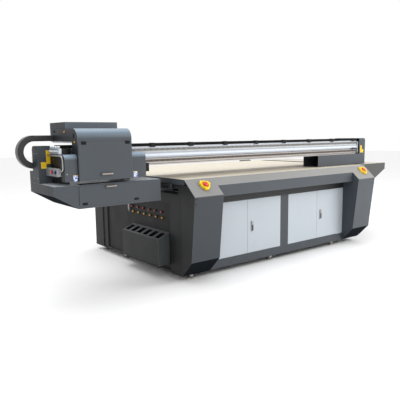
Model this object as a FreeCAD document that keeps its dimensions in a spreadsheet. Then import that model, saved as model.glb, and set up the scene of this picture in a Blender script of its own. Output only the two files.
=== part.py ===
"""Flatbed UV printer: a cabinet with a vacuum bed, a gantry that travels over it and a print carriage.

The model is drawn in the cabinet's own frame: X runs right from the cabinet's left face, Y runs back
from the pillars' nose and Z runs up from the floor.  Every kept part is then moved by the same shift,
so that the stored origin lies on the floor under the middle of the whole machine.
"""
import FreeCAD, Part
import math
import os
import Sketcher

doc = FreeCAD.newDocument("FlatbedPrinter")
sheet = doc.addObject("Spreadsheet::Sheet", "Sizes")


# ------------------------------------------------------------------ sizes and formulas

class Size:
    """A length: its number of millimetres, and the formula over the sheet's cells that gives it."""

    def __init__(self, number, text):
        self.number = number
        self.text = text

    def __add__(self, other):
        other = as_size(other)
        return Size(self.number + other.number, f"({self.text} + {other.text})")

    def __sub__(self, other):
        other = as_size(other)
        return Size(self.number - other.number, f"({self.text} - {other.text})")

    def __mul__(self, factor):
        factor = as_size(factor)
        return Size(self.number * factor.number, f"({self.text} * {factor.text})")

    def __truediv__(self, factor):
        factor = as_size(factor)
        return Size(self.number / factor.number, f"({self.text} / {factor.text})")

    def __radd__(self, other):
        return as_size(other) + self

    def __rsub__(self, other):
        return as_size(other) - self

    def __rmul__(self, other):
        return as_size(other) * self

    def __neg__(self):
        return Size(-self.number, f"(-1 * {self.text})")


def as_size(value):
    """Turn a plain number into a Size."""
    return value if isinstance(value, Size) else Size(float(value), f"({float(value)!r})")


def size(alias, number):
    """Add one driving dimension to the sheet and return it."""
    row = len(cells) + 1
    cells.append(alias)
    sheet.set(f"A{row}", alias)
    sheet.set(f"B{row}", str(number))
    sheet.setAlias(f"B{row}", alias)
    return Size(float(number), f"Sizes.{alias}")


cells = []

# cabinet
base_length = size("base_length", 2750)
base_depth = size("base_depth", 2014)
floor_gap = size("floor_gap", 55)
skin = size("skin", 3)
pillar_width = size("pillar_width", 328)
nose_top = size("nose_top", 814)
nose_low = size("nose_low", 211)
nose_lean = size("nose_lean", 63)
door_plane = size("door_plane", 214)
bed_top = size("bed_top", 958)
bed_thickness = size("bed_thickness", 51)
bed_front = size("bed_front", 159)
bed_back = size("bed_back", 2028)
fascia_front = size("fascia_front", 84)
fascia_top = size("fascia_top", 890)
fascia_low = size("fascia_low", 783)
tube = size("tube", 80)

# doors
door_width = size("door_width", 487)
door_low = size("door_low", 144)
door_high = size("door_high", 698)
door_thick = size("door_thick", 18)
door_gap = size("door_gap", 3)
left_pair = size("left_pair", 337)
right_pair = size("right_pair", 1440)
lock_height = size("lock_height", 418)

# side slots, rails and screws of the gantry drive
slot_low = size("slot_low", 816)
slot_high = size("slot_high", 869)
slot_front = size("slot_front", 250)
slot_back = size("slot_back", 1975)
rail_wide = size("rail_wide", 20)
rail_high = size("rail_high", 17)
rail_seat = size("rail_seat", 822)
rail_left = size("rail_left", 60)
rail_right = size("rail_right", 2800)
screw_radius = size("screw_radius", 12.5)
screw_height = size("screw_height", 836)
screw_left = size("screw_left", 135)
screw_right = size("screw_right", 2875)

# wing at the cabinet's right end
wing_right = size("wing_right", 3388)
wing_front = size("wing_front", 254)
wing_low = size("wing_low", 876)
wing_knee_x = size("wing_knee_x", 3182)
wing_knee_z = size("wing_knee_z", 774)

# ink side
ink_front = size("ink_front", 400)
ink_back = size("ink_back", 1690)
ink_top = size("ink_top", 720)
ink_depth = size("ink_depth", 12)
lamp_row_high = size("lamp_row_high", 621)
lamp_row_low = size("lamp_row_low", 565)
lamp_start_high = size("lamp_start_high", 550)
lamp_start_low = size("lamp_start_low", 535)
lamp_pitch = size("lamp_pitch", 112)
tray_front = size("tray_front", 428)
tray_back = size("tray_back", 1110)
tray_reach = size("tray_reach", 120)
tray_inner_z = size("tray_inner_z", 438)
tray_outer_z = size("tray_outer_z", 384)
tray_low = size("tray_low", 130)

# gantry
beam_left = size("beam_left", -1050)
beam_right = size("beam_right", 2876)
beam_front = size("beam_front", 350)
beam_back = size("beam_back", 680)
beam_low = size("beam_low", 1092)
beam_top = size("beam_top", 1268)
upper_rail = size("upper_rail", 1232)
lower_rail = size("lower_rail", 1133)
box_left = size("box_left", 2065)
box_right = size("box_right", 3008)
box_front = size("box_front", 316)
box_back = size("box_back", 537)
box_low = size("box_low", 962)
cover_left = size("cover_left", 2880)
cover_top = size("cover_top", 1288)
cover_round = size("cover_round", 30)

# parking station and left end
station_left = size("station_left", -1155)
station_right = size("station_right", -203)
station_front = size("station_front", 232)
station_back = size("station_back", 768)
station_top = size("station_top", 976)
station_low = size("station_low", 787)
station_cut_x = size("station_cut_x", -965)
station_cut_z = size("station_cut_z", 899)
housing_front = size("housing_front", 552)
housing_back = size("housing_back", 688)
housing_right = size("housing_right", -1052)
housing_top = size("housing_top", 1281)
step_top = size("step_top", 1073)

# carriage
head_left = size("head_left", -966)
head_right = size("head_right", -495)
head_front = size("head_front", 200)
head_back = size("head_back", 430)
head_low = size("head_low", 1005)
head_top = size("head_top", 1415)
head_round = size("head_round", 82)
head_inner_back = size("head_inner_back", 310)
plate_front = size("plate_front", 298)
lamp_front = size("lamp_front", 214)
lamp_back = size("lamp_back", 280)
lamp_low = size("lamp_low", 1007)
lamp_top = size("lamp_top", 1215)
lamp_round = size("lamp_round", 42)
rear_back = size("rear_back", 762)
rear_low = size("rear_low", 1312)
rear_top = size("rear_top", 1469)

# cable chain
chain_front = size("chain_front", 694)
chain_back = size("chain_back", 758)
chain_high = size("chain_high", 49)
chain_radius = size("chain_radius", 113)
chain_low = size("chain_low", 1091)
chain_bend_x = size("chain_bend_x", -1131)
chain_end_x = size("chain_end_x", 430)

# the stored origin, in the cabinet's frame
middle_x = (chain_bend_x - chain_radius - chain_high / 2 + wing_right) / 2
middle_y = bed_back / 2


# ------------------------------------------------------------------ drawing helpers

places = {}
parts = {}
PLANE_OF = {"X": "YZ_Plane", "Y": "XZ_Plane", "Z": "XY_Plane"}
TURN_OF = {
    "Z": FreeCAD.Rotation(),
    "X": FreeCAD.Rotation(FreeCAD.Vector(0, 1, 0), 90),
    "Y": FreeCAD.Rotation(FreeCAD.Vector(1, 0, 0), -90),
}


def bind(thing, name, value):
    """Bind one property of a document object to a formula over the sheet."""
    thing.setExpression(name, as_size(value).text)


def place(thing, x, y, z, turn=None):
    """Put an object at a point of the cabinet's frame, turned if asked."""
    if turn is not None:
        thing.Placement = FreeCAD.Placement(FreeCAD.Vector(), turn)
    places[thing.Name] = (as_size(x), as_size(y), as_size(z))
    for axis, value in zip("xyz", places[thing.Name]):
        bind(thing, f"Placement.Base.{axis}", value)
    return thing


def keep(thing, label):
    """Name a finished part and move it from the cabinet's frame to the stored one."""
    x, y, z = places.get(thing.Name, (as_size(0), as_size(0), as_size(0)))
    bind(thing, "Placement.Base.x", x - middle_x)
    bind(thing, "Placement.Base.y", y - middle_y)
    bind(thing, "Placement.Base.z", z)
    thing.Label = label
    parts[label] = thing
    return thing


def block(name, x, y, z):
    """A box between two planes on each axis."""
    box = doc.addObject("Part::Box", name)
    for prop, (low, high) in zip(("Length", "Width", "Height"), (x, y, z)):
        bind(box, prop, as_size(high) - low)
    return place(box, x[0], y[0], z[0])


def rod(name, axis, start, radius, length, angle=360):
    """A cylinder that starts at a point and runs along one axis."""
    bar = doc.addObject("Part::Cylinder", name)
    bind(bar, "Radius", radius)
    bind(bar, "Height", length)
    bar.Angle = angle
    return place(bar, *start, TURN_OF[axis])


def cut(name, base, *tools):
    """A part with material taken away."""
    result = doc.addObject("Part::Cut", name)
    result.Base = base
    result.Tool = tools[0] if len(tools) == 1 else group(name + "_tools", tools)
    return result


def fuse(name, *pieces):
    """Several shapes joined into one solid."""
    result = doc.addObject("Part::MultiFuse", name)
    result.Shapes = list(pieces)
    return result


def group(name, pieces):
    """Several separate solids kept as one part."""
    result = doc.addObject("Part::Compound", name)
    result.Links = list(pieces)
    return result


def pin_point(sketch, line, axis, value):
    """Fix the start of a line at a distance from the sketch's origin along one axis."""
    value = as_size(value)
    if value.number == 0:
        sketch.addConstraint(Sketcher.Constraint("PointOnObject", line, 1, -2 if axis == "X" else -1))
        return
    index = sketch.addConstraint(Sketcher.Constraint(f"Distance{axis}", -1, 1, line, 1, value.number))
    sketch.setExpression(f"Constraints[{index}]", value.text)


def outline(body, axis, at, loops):
    """A sketch square to an axis, with closed loops of points or (centre u, centre v, radius) circles."""
    role = PLANE_OF[axis]
    plane = next(item for item in body.Origin.OriginFeatures if item.Role == role)
    sketch = body.newObject("Sketcher::SketchObject", body.Name + "_sketch")
    sketch.AttachmentSupport = (plane, [""])
    sketch.MapMode = "FlatFace"
    # the XZ plane's normal points forward, so its offset counts the other way
    bind(sketch, "AttachmentOffset.Base.z", -as_size(at) if axis == "Y" else at)
    for loop in loops:
        if len(loop) == 3 and not isinstance(loop[0], tuple):
            add_circle(sketch, *loop)
        else:
            add_polygon(sketch, loop)
    return sketch


def add_circle(sketch, across, up, radius):
    """One circle whose centre and radius come from the sheet."""
    across, up, radius = as_size(across), as_size(up), as_size(radius)
    centre = FreeCAD.Vector(across.number, up.number, 0)
    index = sketch.addGeometry(Part.Circle(centre, FreeCAD.Vector(0, 0, 1), radius.number), False)
    for axis, value in (("X", across), ("Y", up)):
        if value.number == 0:
            sketch.addConstraint(Sketcher.Constraint("PointOnObject", index, 3, -2 if axis == "X" else -1))
            continue
        number = sketch.addConstraint(
            Sketcher.Constraint(f"Distance{axis}", -1, 1, index, 3, value.number))
        sketch.setExpression(f"Constraints[{number}]", value.text)
    number = sketch.addConstraint(Sketcher.Constraint("Radius", index, radius.number))
    sketch.setExpression(f"Constraints[{number}]", radius.text)


def add_polygon(sketch, points):
    """One closed loop of straight lines, each corner bound to the sheet."""
    corners = [FreeCAD.Vector(as_size(u).number, as_size(v).number, 0) for u, v in points]
    first = sketch.GeometryCount
    count = len(corners)
    for i, corner in enumerate(corners):
        sketch.addGeometry(Part.LineSegment(corner, corners[(i + 1) % count]), False)
    for i in range(count):
        following = first + (i + 1) % count
        sketch.addConstraint(Sketcher.Constraint("Coincident", first + i, 2, following, 1))
    for i, (u, v) in enumerate(points):
        pin_point(sketch, first + i, "X", u)
        pin_point(sketch, first + i, "Y", v)


def box_loop(u, v):
    """The four corners of a rectangle between two values on each axis."""
    return [(u[0], v[0]), (u[1], v[0]), (u[1], v[1]), (u[0], v[1])]


def prism(name, axis, span, *loops, rounds=(), hollows=()):
    """A padded outline along an axis, with rounded corners and pocketed hollows.

    rounds holds (corner, radius) pairs, and hollows holds (axis, span, loops, inner rounds) tuples.
    """
    body = doc.addObject("PartDesign::Body", name)
    low, high = as_size(span[0]), as_size(span[1])
    sketch = outline(body, axis, high if axis == "Y" else low, loops)
    pad = body.newObject("PartDesign::Pad", name + "_pad")
    pad.Profile = sketch
    bind(pad, "Length", high - low)
    sketch.Visibility = False
    last = pad
    for cut_axis, cut_span, cut_loops, inner_rounds in hollows:
        last = hollow(body, cut_axis, cut_span, cut_loops)
        last = round_corners(body, last, cut_axis, inner_rounds)
    body.Tip = round_corners(body, last, axis, rounds)
    return body


def hollow(body, axis, span, loops):
    """A pocket between two planes of one axis."""
    low, high = as_size(span[0]), as_size(span[1])
    sketch = outline(body, axis, high if axis == "Y" else low, loops)
    pocket = body.newObject("PartDesign::Pocket", body.Name + "_pocket")
    pocket.Profile = sketch
    pocket.Reversed = True
    bind(pocket, "Length", high - low)
    sketch.Visibility = False
    return pocket


def round_corners(body, feature, axis, rounds):
    """Fillet the edges that run along an axis through the given corners."""
    if not rounds:
        return feature
    doc.recompute()
    along = {"X": FreeCAD.Vector(1, 0, 0), "Y": FreeCAD.Vector(0, 1, 0), "Z": FreeCAD.Vector(0, 0, 1)}[axis]
    keys = {"X": ("y", "z"), "Y": ("x", "z"), "Z": ("x", "y")}[axis]
    last = feature
    for (u, v), radius in rounds:
        names = []
        for number, edge in enumerate(last.Shape.Edges, 1):
            ends = [vertex.Point for vertex in edge.Vertexes]
            straight = len(ends) == 2 and abs((ends[1] - ends[0]).normalize().dot(along)) > 0.999
            if not straight:
                continue
            near_u = abs(getattr(ends[0], keys[0]) - as_size(u).number) < 0.01
            near_v = abs(getattr(ends[0], keys[1]) - as_size(v).number) < 0.01
            if near_u and near_v:
                names.append(f"Edge{number}")
        fillet = body.newObject("PartDesign::Fillet", body.Name + "_fillet")
        fillet.Base = (last, names)
        bind(fillet, "Radius", radius)
        doc.recompute()
        last = fillet
    return last


def turned(name, points, at, turn=None):
    """A turned piece: a half outline of (radius, height) points revolved about its own Z axis."""
    body = doc.addObject("PartDesign::Body", name)
    sketch = outline(body, "Y", 0, [points])
    spin = body.newObject("PartDesign::Revolution", name + "_spin")
    spin.Profile = sketch
    spin.ReferenceAxis = (sketch, ["V_Axis"])
    spin.Angle = 360
    sketch.Visibility = False
    body.Tip = spin
    return place(body, *at, turn)


# ------------------------------------------------------------------ cabinet: frame and feet

FOOT_COLUMNS = (150, 1220, 2290)
FOOT_ROWS = (275, 1383, 1880)
SIDE_FOOT = 60
STUB_COLUMNS = (300, 1375, 2450)
CROSS_ROWS = (300, 1383, 1880)
PAN_TOP = 158
CROSS_LOW = 662


def square_tube(name, axis, x, y, z, wall=4):
    """A straight length of square tube, open at both ends."""
    ranges = {"X": x, "Y": y, "Z": z}
    outer = block(name, x, y, z)
    inner = {key: (as_size(low) + wall, as_size(high) - wall) for key, (low, high) in ranges.items()}
    inner[axis] = ranges[axis]
    core = block(name + "_bore", inner["X"], inner["Y"], inner["Z"])
    return cut(name + "_tube", outer, core)


def make_frame():
    """Welded steel frame: posts over the feet, rails along and across, stubs that carry the bed."""
    half = tube / 2
    low = floor_gap + 20
    tubes = []
    for row, y in enumerate(FOOT_ROWS):
        around_y = (y - half, y + half)
        tubes.append(square_tube(f"low_rail_{row}", "X", (20, 2330), around_y, (low, low + tube)))
        for column, x in enumerate(FOOT_COLUMNS):
            tubes.append(square_tube(f"post_{column}_{row}", "Z", (x - half, x + half), around_y,
                                     (PAN_TOP, CROSS_LOW)))
    for row, y in enumerate(CROSS_ROWS):
        around_y = (y - half, y + half)
        tubes.append(square_tube(f"cross_rail_{row}", "X", (20, 2840), around_y,
                                 (CROSS_LOW, CROSS_LOW + tube)))
        for column, x in enumerate(STUB_COLUMNS):
            tubes.append(square_tube(f"stub_{column}_{row}", "Z", (x - half, x + half), around_y,
                                     (CROSS_LOW + tube, bed_top - bed_thickness)))
    for name, x in (("left", rail_left), ("right", rail_right)):
        tubes.append(square_tube(f"side_rail_{name}", "Y", (x - half, x + half), (260, 1990),
                                 (rail_seat - tube, rail_seat)))
    tubes.append(block("floor_pan", (110, 2330), (235, 1920), (low + tube, PAN_TOP)))
    keep(group("frame_tubes", tubes), "base_frame")


def make_feet():
    """Levelling feet: a round pad, a locknut and a threaded stem each.

    The left ones behind the pillar stand further out, right under the side sheet.
    """
    profile = [(0, 0), (42, 0), (42, 8), (34, 14), (14, 18), (14, 30), (22, 30), (22, 44), (14, 44),
               (14, floor_gap + 20), (0, floor_gap + 20)]
    left, *others = FOOT_COLUMNS
    front, *behind = FOOT_ROWS
    places = [(x, y) for x in others for y in FOOT_ROWS] + [(left, front)] + [(SIDE_FOOT, y) for y in behind]
    feet = [turned(f"foot_{x}_{y}", profile, (x, y, 0)) for x, y in places]
    keep(group("feet", feet), "levelling_feet")


# ------------------------------------------------------------------ emergency stops

STOP_PLACES = {"left": 177, "right": 2625}
STOP_Y = 90


def stop_frame():
    """The height of the sloped trim at the stops, and the turn that faces a piece along its normal."""
    rise = (bed_top - nose_top) / bed_front
    tilt = math.degrees(math.atan(rise.number))
    return nose_top + rise * STOP_Y, FreeCAD.Rotation(FreeCAD.Vector(1, 0, 0), tilt)


def make_stops():
    """Emergency stops on the slope over each pillar: a guard ring and the mushroom button in it."""
    height, turn = stop_frame()
    ring = [(34, 0.5), (48, 0.5), (48, 20), (44, 26), (38, 26), (34, 20)]
    rings = [turned(f"guard_{name}", ring, (x, STOP_Y, height), turn) for name, x in STOP_PLACES.items()]
    keep(group("guards", rings), "stop_guards")
    cap = [(0, 0.2), (10, 0.2), (10, 16), (22, 17), (25, 22), (22, 30), (12, 34), (0, 35)]
    for name, x in STOP_PLACES.items():
        keep(turned(f"mushroom_{name}", cap, (x, STOP_Y, height), turn), f"stop_button_{name}")


# ------------------------------------------------------------------ cabinet: covers

def make_pillar(name, left):
    """Front corner cover: leaning nose, chamfered toe, open at its back."""
    right = left + pillar_width
    toe = door_plane - 1
    outer = [(0, nose_top - 6), (nose_lean, nose_low), (toe, floor_gap), (toe, 900), (102, 900)]
    inner = [(skin, nose_top - 8), (nose_lean + skin, nose_low + 2), (toe + 1, floor_gap + skin),
             (toe + 20, floor_gap + skin), (toe + 20, 897), (104, 897)]
    inside = ("X", (left + skin, right - skin), [inner], ())
    keep(prism(name, "X", (left, right), outer, hollows=[inside]), name)


def make_front_cover():
    """One folded sheet: the sloped trim along the bed's front edge and the fascia between the pillars."""
    slope = [(0, nose_top), (bed_front, bed_top), (bed_front, bed_top - 6), (0, nose_top - 6)]
    between = (pillar_width, base_length - pillar_width)
    notch = ("Y", (-10, fascia_front), [box_loop(between, (nose_top - 20, fascia_top + 10))], ())
    trim = prism("slope", "X", (0, base_length), slope, hollows=[notch])
    fold = [(fascia_front, fascia_low), (fascia_front, fascia_top - 3),
            (fascia_front + skin, fascia_top - 3), (fascia_front + skin, fascia_low + skin),
            (door_plane - 1, fascia_low + skin), (door_plane - 1, fascia_low)]
    fascia = prism("fascia", "X", between, fold)
    height, turn = stop_frame()
    holes = [turned(f"stop_hole_{name}", [(0, -8), (11, -8), (11, 8), (0, 8)], (x, STOP_Y, height), turn)
             for name, x in STOP_PLACES.items()]
    keep(cut("pierced_cover", fuse("trim_and_fascia", trim, fascia), *holes), "front_cover")


def make_door_surround():
    """Front frame of the cabinet, with one opening for each pair of doors."""
    heights = (door_low - door_gap, door_high + door_gap)
    openings = []
    for pair in (left_pair, right_pair):
        span = (pair - door_gap, pair + 2 * door_width + 2 * door_gap)
        openings.append(box_loop(span, heights))
    outer = box_loop((skin, base_length - skin), (floor_gap, 880))
    keep(prism("surround", "Y", (door_plane, door_plane + skin), outer, *openings), "door_surround")


def make_side_panels():
    """Side sheets: strips around the arm slot and the ink recess on the left, one sheet on the right."""
    top = bed_top - bed_thickness - 2
    groove = (ink_back + 12, ink_back + 116)
    groove_top = 800
    whole = (door_plane, base_depth)
    strips = [(whole, (slot_high, top)), ((door_plane, slot_front), (slot_low, slot_high)),
              ((slot_back, base_depth), (slot_low, slot_high)), (whole, (groove_top, slot_low)),
              ((door_plane, ink_front), (floor_gap, groove_top)),
              ((ink_front, ink_back), (ink_top, groove_top)), ((ink_front, ink_back), (floor_gap, 80)),
              ((ink_back, groove[0]), (floor_gap, groove_top)),
              (groove, (floor_gap, 66)), ((groove[1], base_depth), (floor_gap, groove_top))]
    sheets = [block(f"left_strip_{i}", (0, skin), y, z) for i, (y, z) in enumerate(strips)]
    keep(group("left_sheets", sheets), "left_side_panel")
    outer = box_loop(whole, (floor_gap, top))
    half = tube / 2 + 1
    holes = [box_loop((y - half, y + half), (CROSS_LOW - 1, CROSS_LOW + tube + 1)) for y in CROSS_ROWS]
    keep(prism("right_sheet", "X", (base_length - skin, base_length), outer, *holes), "right_side_panel")


def make_wing():
    """Hollow console at the right end that covers the outrigger rail, with a slot along its top."""
    left = base_length + 1
    outer = [(left, 554), (wing_knee_x, wing_knee_z), (wing_right, wing_low), (wing_right, bed_top),
             (left, bed_top)]
    inner = [(left - 10, 556), (wing_knee_x, wing_knee_z + 4), (wing_right - skin, wing_low + 2),
             (wing_right - skin, bed_top - skin), (left - 10, bed_top - skin)]
    inside = ("Y", (wing_front + skin, 1997), [inner], ())
    slot = ("Z", (bed_top - 10, bed_top + 10), [box_loop((2762, 2872), (300, 1980))], ())
    keep(prism("wing", "Y", (wing_front, 2000), outer, hollows=[inside, slot]), "right_wing")


def make_back_panel():
    """Rear sheet with two fields of louvre slots."""
    slots = [box_loop((x, x + 300), (z, z + 14)) for x in (500, 1900) for z in range(300, 620, 40)]
    outer = box_loop((skin, base_length - skin), (floor_gap, bed_top - bed_thickness - 2))
    keep(prism("back_sheet", "Y", (base_depth - skin, base_depth), outer, *slots), "back_panel")


def make_bed():
    """Vacuum bed: a flat plate over a sealed chamber that opens only at the blower's port."""
    low = bed_top - bed_thickness
    chamber = ("Z", (low + 4, bed_top - 12), [box_loop((60, 2690), (220, 1970))], ())
    port = ("Z", (low - 5, low + 10), [(700, 1100, 45)], ())
    outer = box_loop((2, base_length - 2), (bed_front + 1, bed_back))
    keep(prism("bed_plate", "Z", (low, bed_top), outer, hollows=[chamber, port]), "bed")


# ------------------------------------------------------------------ cabinet: doors

def door_left(number):
    """The left edge of one of the four doors."""
    pair = left_pair if number < 2 else right_pair
    return pair + (number % 2) * (door_width + door_gap)


def lock_at(number):
    """Where the lock's shaft goes through a door: near the seam with its neighbour."""
    return door_left(number) + 63


def make_door(number):
    """A door pan folded from sheet, open at its back; every second one is drilled for its lock."""
    left = door_left(number)
    right = left + door_width
    outer = box_loop((left, right), (door_low, door_high))
    inner = box_loop((left + 2, right - 2), (door_low + 2, door_high - 2))
    hollows = [("Y", (door_plane + 2, door_plane + 40), [inner], ())]
    if number % 2:
        shaft = [(lock_at(number), lock_height, 8.3)]
        hollows.append(("Y", (door_plane - 5, door_plane + 5), [shaft[0]], ()))
    keep(prism(f"pan_{number}", "Y", (door_plane, door_plane + door_thick), outer, hollows=hollows),
         f"door_{number + 1}")


def make_lock(number):
    """Quarter-turn lock: handle in front, shaft through the door and cam that turns behind the next door."""
    x = lock_at(number)
    front = door_plane - 0.5
    handle = block(f"handle_{number}", (x - 11, x + 11), (front - 11, front),
                   (lock_height - 52, lock_height + 52))
    shaft = rod(f"shaft_{number}", "Y", (x, front - 1, lock_height), 8, 24)
    cam = block(f"cam_{number}", (x - 10, x + 10), (door_plane + door_thick + 0.5, door_plane + 22),
                (lock_height - 78, lock_height + 10))
    keep(fuse(f"lock_{number}", handle, shaft, cam), f"door_lock_{(number + 1) // 2}")


# ------------------------------------------------------------------ cabinet: ink side and services

def make_ink_side():
    """Recessed ink panel with two rows of lamps, the bottle tray under it and the filter beside."""
    floor = skin + ink_depth - skin
    outer = box_loop((ink_front - 8, ink_back + 124), (58, 806))
    recess = ("X", (0, floor), [box_loop((ink_front, ink_back), (80, ink_top))], ())
    groove = ("X", (0, floor), [box_loop((ink_back + 12, ink_back + 116), (66, 800))], ())
    keep(prism("ink_pan", "X", (skin, floor + skin), outer, hollows=[recess, groove]), "ink_panel")
    lamps = []
    for row, (y, z) in enumerate(((lamp_start_high, lamp_row_high), (lamp_start_low, lamp_row_low))):
        for i in range(6):
            start = (floor - 16, y + i * lamp_pitch, z)
            lamps.append(rod(f"lamp_{row}_{i}", "X", start, 10, 16))
    keep(group("lamps", lamps), "ink_lamps")
    clip = block("filter_clip", (0, floor), (1166, 1178), (600, 660))
    profile = [(0, 0), (6, 0), (6, 12), (11, 16), (11, 124), (6, 128), (6, 140), (0, 140)]
    shell = turned("filter_shell", profile, (-2, 1172, 562))
    keep(fuse("filter", shell, clip), "ink_filter")


def slot_middle(i):
    """The middle of one bottle slot along the tray."""
    return tray_front + (tray_back - tray_front) * (2 * i + 1) / 12


def make_ink_tray():
    """Bottle tray on the cabinet's left side: sloped lid with six slots, open towards the cabinet."""
    wall = ink_depth
    slope = (tray_inner_z - tray_outer_z) / (tray_reach + wall)
    outer = [(wall, tray_inner_z), (-tray_reach, tray_outer_z), (-tray_reach, tray_low), (wall, tray_low)]
    far = skin - tray_reach
    inner = [(wall + 8, tray_inner_z + slope * 8 - 3), (far, tray_outer_z + slope * skin - 3),
             (far, tray_low + skin), (wall + 8, tray_low + skin)]
    inside = ("Y", (tray_front + skin, tray_back - skin), [inner], ())
    slots = [box_loop((-100, -14), (slot_middle(i) - 36, slot_middle(i) + 36)) for i in range(6)]
    lid = ("Z", (tray_outer_z - 20, tray_inner_z + 20), slots, ())
    keep(prism("tray", "Y", (tray_front, tray_back), outer, hollows=[inside, lid]), "ink_tray")
    profile = [(0, 0), (32, 0), (34, 3), (34, 150), (18, 172), (18, 190), (0, 190)]
    bottles = [turned(f"bottle_{i}", profile, (-57, slot_middle(i), tray_low + skin)) for i in range(6)]
    keep(group("bottles", bottles), "ink_bottles")


def make_services():
    """Blower and electrics on the floor pan, and the motors of the two gantry screws."""
    profile = [(0, 0), (150, 0), (160, 12), (160, 150), (110, 190), (60, 200), (60, 260), (0, 260)]
    drum = turned("drum", profile, (700, 1100, PAN_TOP))
    pipe = rod("pipe", "Z", (700, 1100, PAN_TOP + 258), 44, bed_top - bed_thickness - PAN_TOP - 250)
    keep(fuse("blower", drum, pipe), "vacuum_blower")
    plate = block("electrics_plate", (1400, 2100), (560, 568), (PAN_TOP, 640))
    units = [block(f"drive_unit_{i}", (x, x + 120), (430, 561), (400, 600))
             for i, x in enumerate((1440, 1600, 1760))]
    units.append(block("power_supply", (1440, 1880), (450, 561), (200, 340)))
    units.append(block("contactors", (1940, 2060), (480, 561), (220, 600)))
    keep(fuse("electrics", plate, *units), "electrics_panel")
    motors = []
    for name, x, side in (("left", screw_left, rail_left + 40), ("right", screw_right, rail_right + 40)):
        can = block(f"motor_{name}", (x - 28, x + 28), (1906, 1985), (screw_height - 28, screw_height + 28))
        foot = block(f"motor_foot_{name}", (side, x + 28), (1906, 1914), (750, screw_height + 28))
        stand = block(f"bearing_{name}", (side, x + 28), (270, 292), (750, screw_height + 28))
        motors += [fuse(f"drive_{name}", can, foot), stand]
    keep(group("drives", motors), "y_motors")


def make_y_drive():
    """Linear guides along both sides of the cabinet and the ball screw beside each."""
    half = rail_wide / 2
    rails = [block(f"y_rail_{name}", (x - half, x + half), (270, 1980), (rail_seat, rail_seat + rail_high))
             for name, x in (("left", rail_left), ("right", rail_right))]
    keep(group("y_guides", rails), "y_rails")
    for name, x in (("left", screw_left), ("right", screw_right)):
        keep(rod(f"screw_{name}", "Y", (x, 293, screw_height), screw_radius, 1612), f"y_screw_{name}")


# ------------------------------------------------------------------ gantry

def make_beam():
    """Hollow cross beam with its two guides, the motor's magnet track and the strip along its top edge."""
    wall = 10
    web = (beam_front + beam_back) / 2
    outer = box_loop((beam_front, beam_back), (beam_low, beam_top))
    cells_in_beam = [box_loop((beam_front + wall, web - 4), (beam_low + wall, beam_top - wall)),
                     box_loop((web + 4, beam_back - wall), (beam_low + wall, beam_top - wall))]
    keep(prism("extrusion", "X", (beam_left, beam_right), outer, *cells_in_beam), "beam")
    run = (beam_left + 10, beam_right - 10)
    half = rail_wide / 2
    guides = [block(f"x_rail_{i}", run, (beam_front - rail_high, beam_front), (z - half, z + half))
              for i, z in enumerate((upper_rail, lower_rail))]
    keep(group("x_guides", guides), "x_rails")
    keep(block("magnets", run, (beam_front - 10, beam_front), (1163, 1203)), "magnet_track")
    strip_low = beam_top - 8
    strip_top = beam_top + 18
    lip = [(beam_front - 6, strip_low), (beam_front - 6, strip_top), (beam_front + 110, strip_top),
           (beam_front + 120, beam_top), (beam_front, beam_top), (beam_front, strip_low)]
    keep(prism("strip", "X", (beam_left, beam_right), lip), "cap_strip")


def make_shoe(name, rail, screw, arm_y):
    """One guide shoe: a block grooved over the rail with the screw's nut beside it."""
    half = rail_wide / 2
    low = rail_seat + 4
    seat = block(f"shoe_{name}", (rail - 22, rail + 46), arm_y, (low, 858))
    groove = block(f"groove_{name}", (rail - half - 0.3, rail + half + 0.3), (0, 2000),
                   (0, rail_seat + rail_high + 0.3))
    nut = block(f"nut_{name}", (rail + 42, screw + 28), (arm_y[0] + 40, arm_y[0] + 120), (812, 858))
    bore = rod(f"nut_bore_{name}", "Y", (screw, 0, screw_height), screw_radius + 0.05, 2000)
    return cut(f"shoe_and_nut_{name}", fuse(f"shoe_blank_{name}", seat, nut), groove, bore)


def make_supports():
    """Arms from the guide shoes to the station and the end box, and the stands under the beam."""
    left_y = (400, 560)
    plate = block("left_arm", (station_right, screw_left + 28), left_y, (858, 866))
    riser = block("left_riser", (-24, -4), (345, 560), (866, 903))
    left = fuse("left_support", make_shoe("left", rail_left, screw_left, left_y), plate, riser)
    right_y = (330, 530)
    post = block("right_post", (rail_right - 22, rail_right + 50), right_y, (858, box_low))
    right = fuse("right_support", make_shoe("right", rail_right, screw_right, right_y), post)
    stands = [block(f"stand_{i}", (x, x + 60), (400, beam_back), (station_top, beam_low))
              for i, x in enumerate((-1020, -470))]
    keep(group("supports", [left, right] + stands), "gantry_supports")


def make_station():
    """Parking station: a hollow case with the capping well in its top and a service bay in its front."""
    outer = [(station_left, station_top), (station_right, station_top), (station_right, station_low),
             (station_cut_x, station_low), (station_left, station_cut_z)]
    inner = [(station_left + skin, station_top - skin), (station_right - skin, station_top - skin),
             (station_right - skin, station_low + skin), (station_cut_x + 1, station_low + skin),
             (station_left + skin, station_cut_z + 2)]
    inside = ("Y", (station_front + skin, station_back - skin), [inner], ())
    bay = ("Y", (station_front - 10, station_front + 10), [box_loop((-945, -415), (835, 950))], ())
    well = ("Z", (station_top - 10, station_top + 10), [box_loop((-945, -515), (238, 330))], ())
    keep(prism("case", "Y", (station_front, station_back), outer, hollows=[inside, bay, well]),
         "station_case")


def pull_handle(name, x, front, z):
    """A bow handle: two feet and a bar."""
    bar = block(name + "_bar", x, (front - 18, front - 10), (z - 5, z + 5))
    feet = [block(f"{name}_foot_{i}", span, (front - 12, front + 1), (z - 5, z + 5))
            for i, span in enumerate(((x[0], x[0] + 10), (x[1] - 10, x[1])))]
    return [bar] + feet


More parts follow.
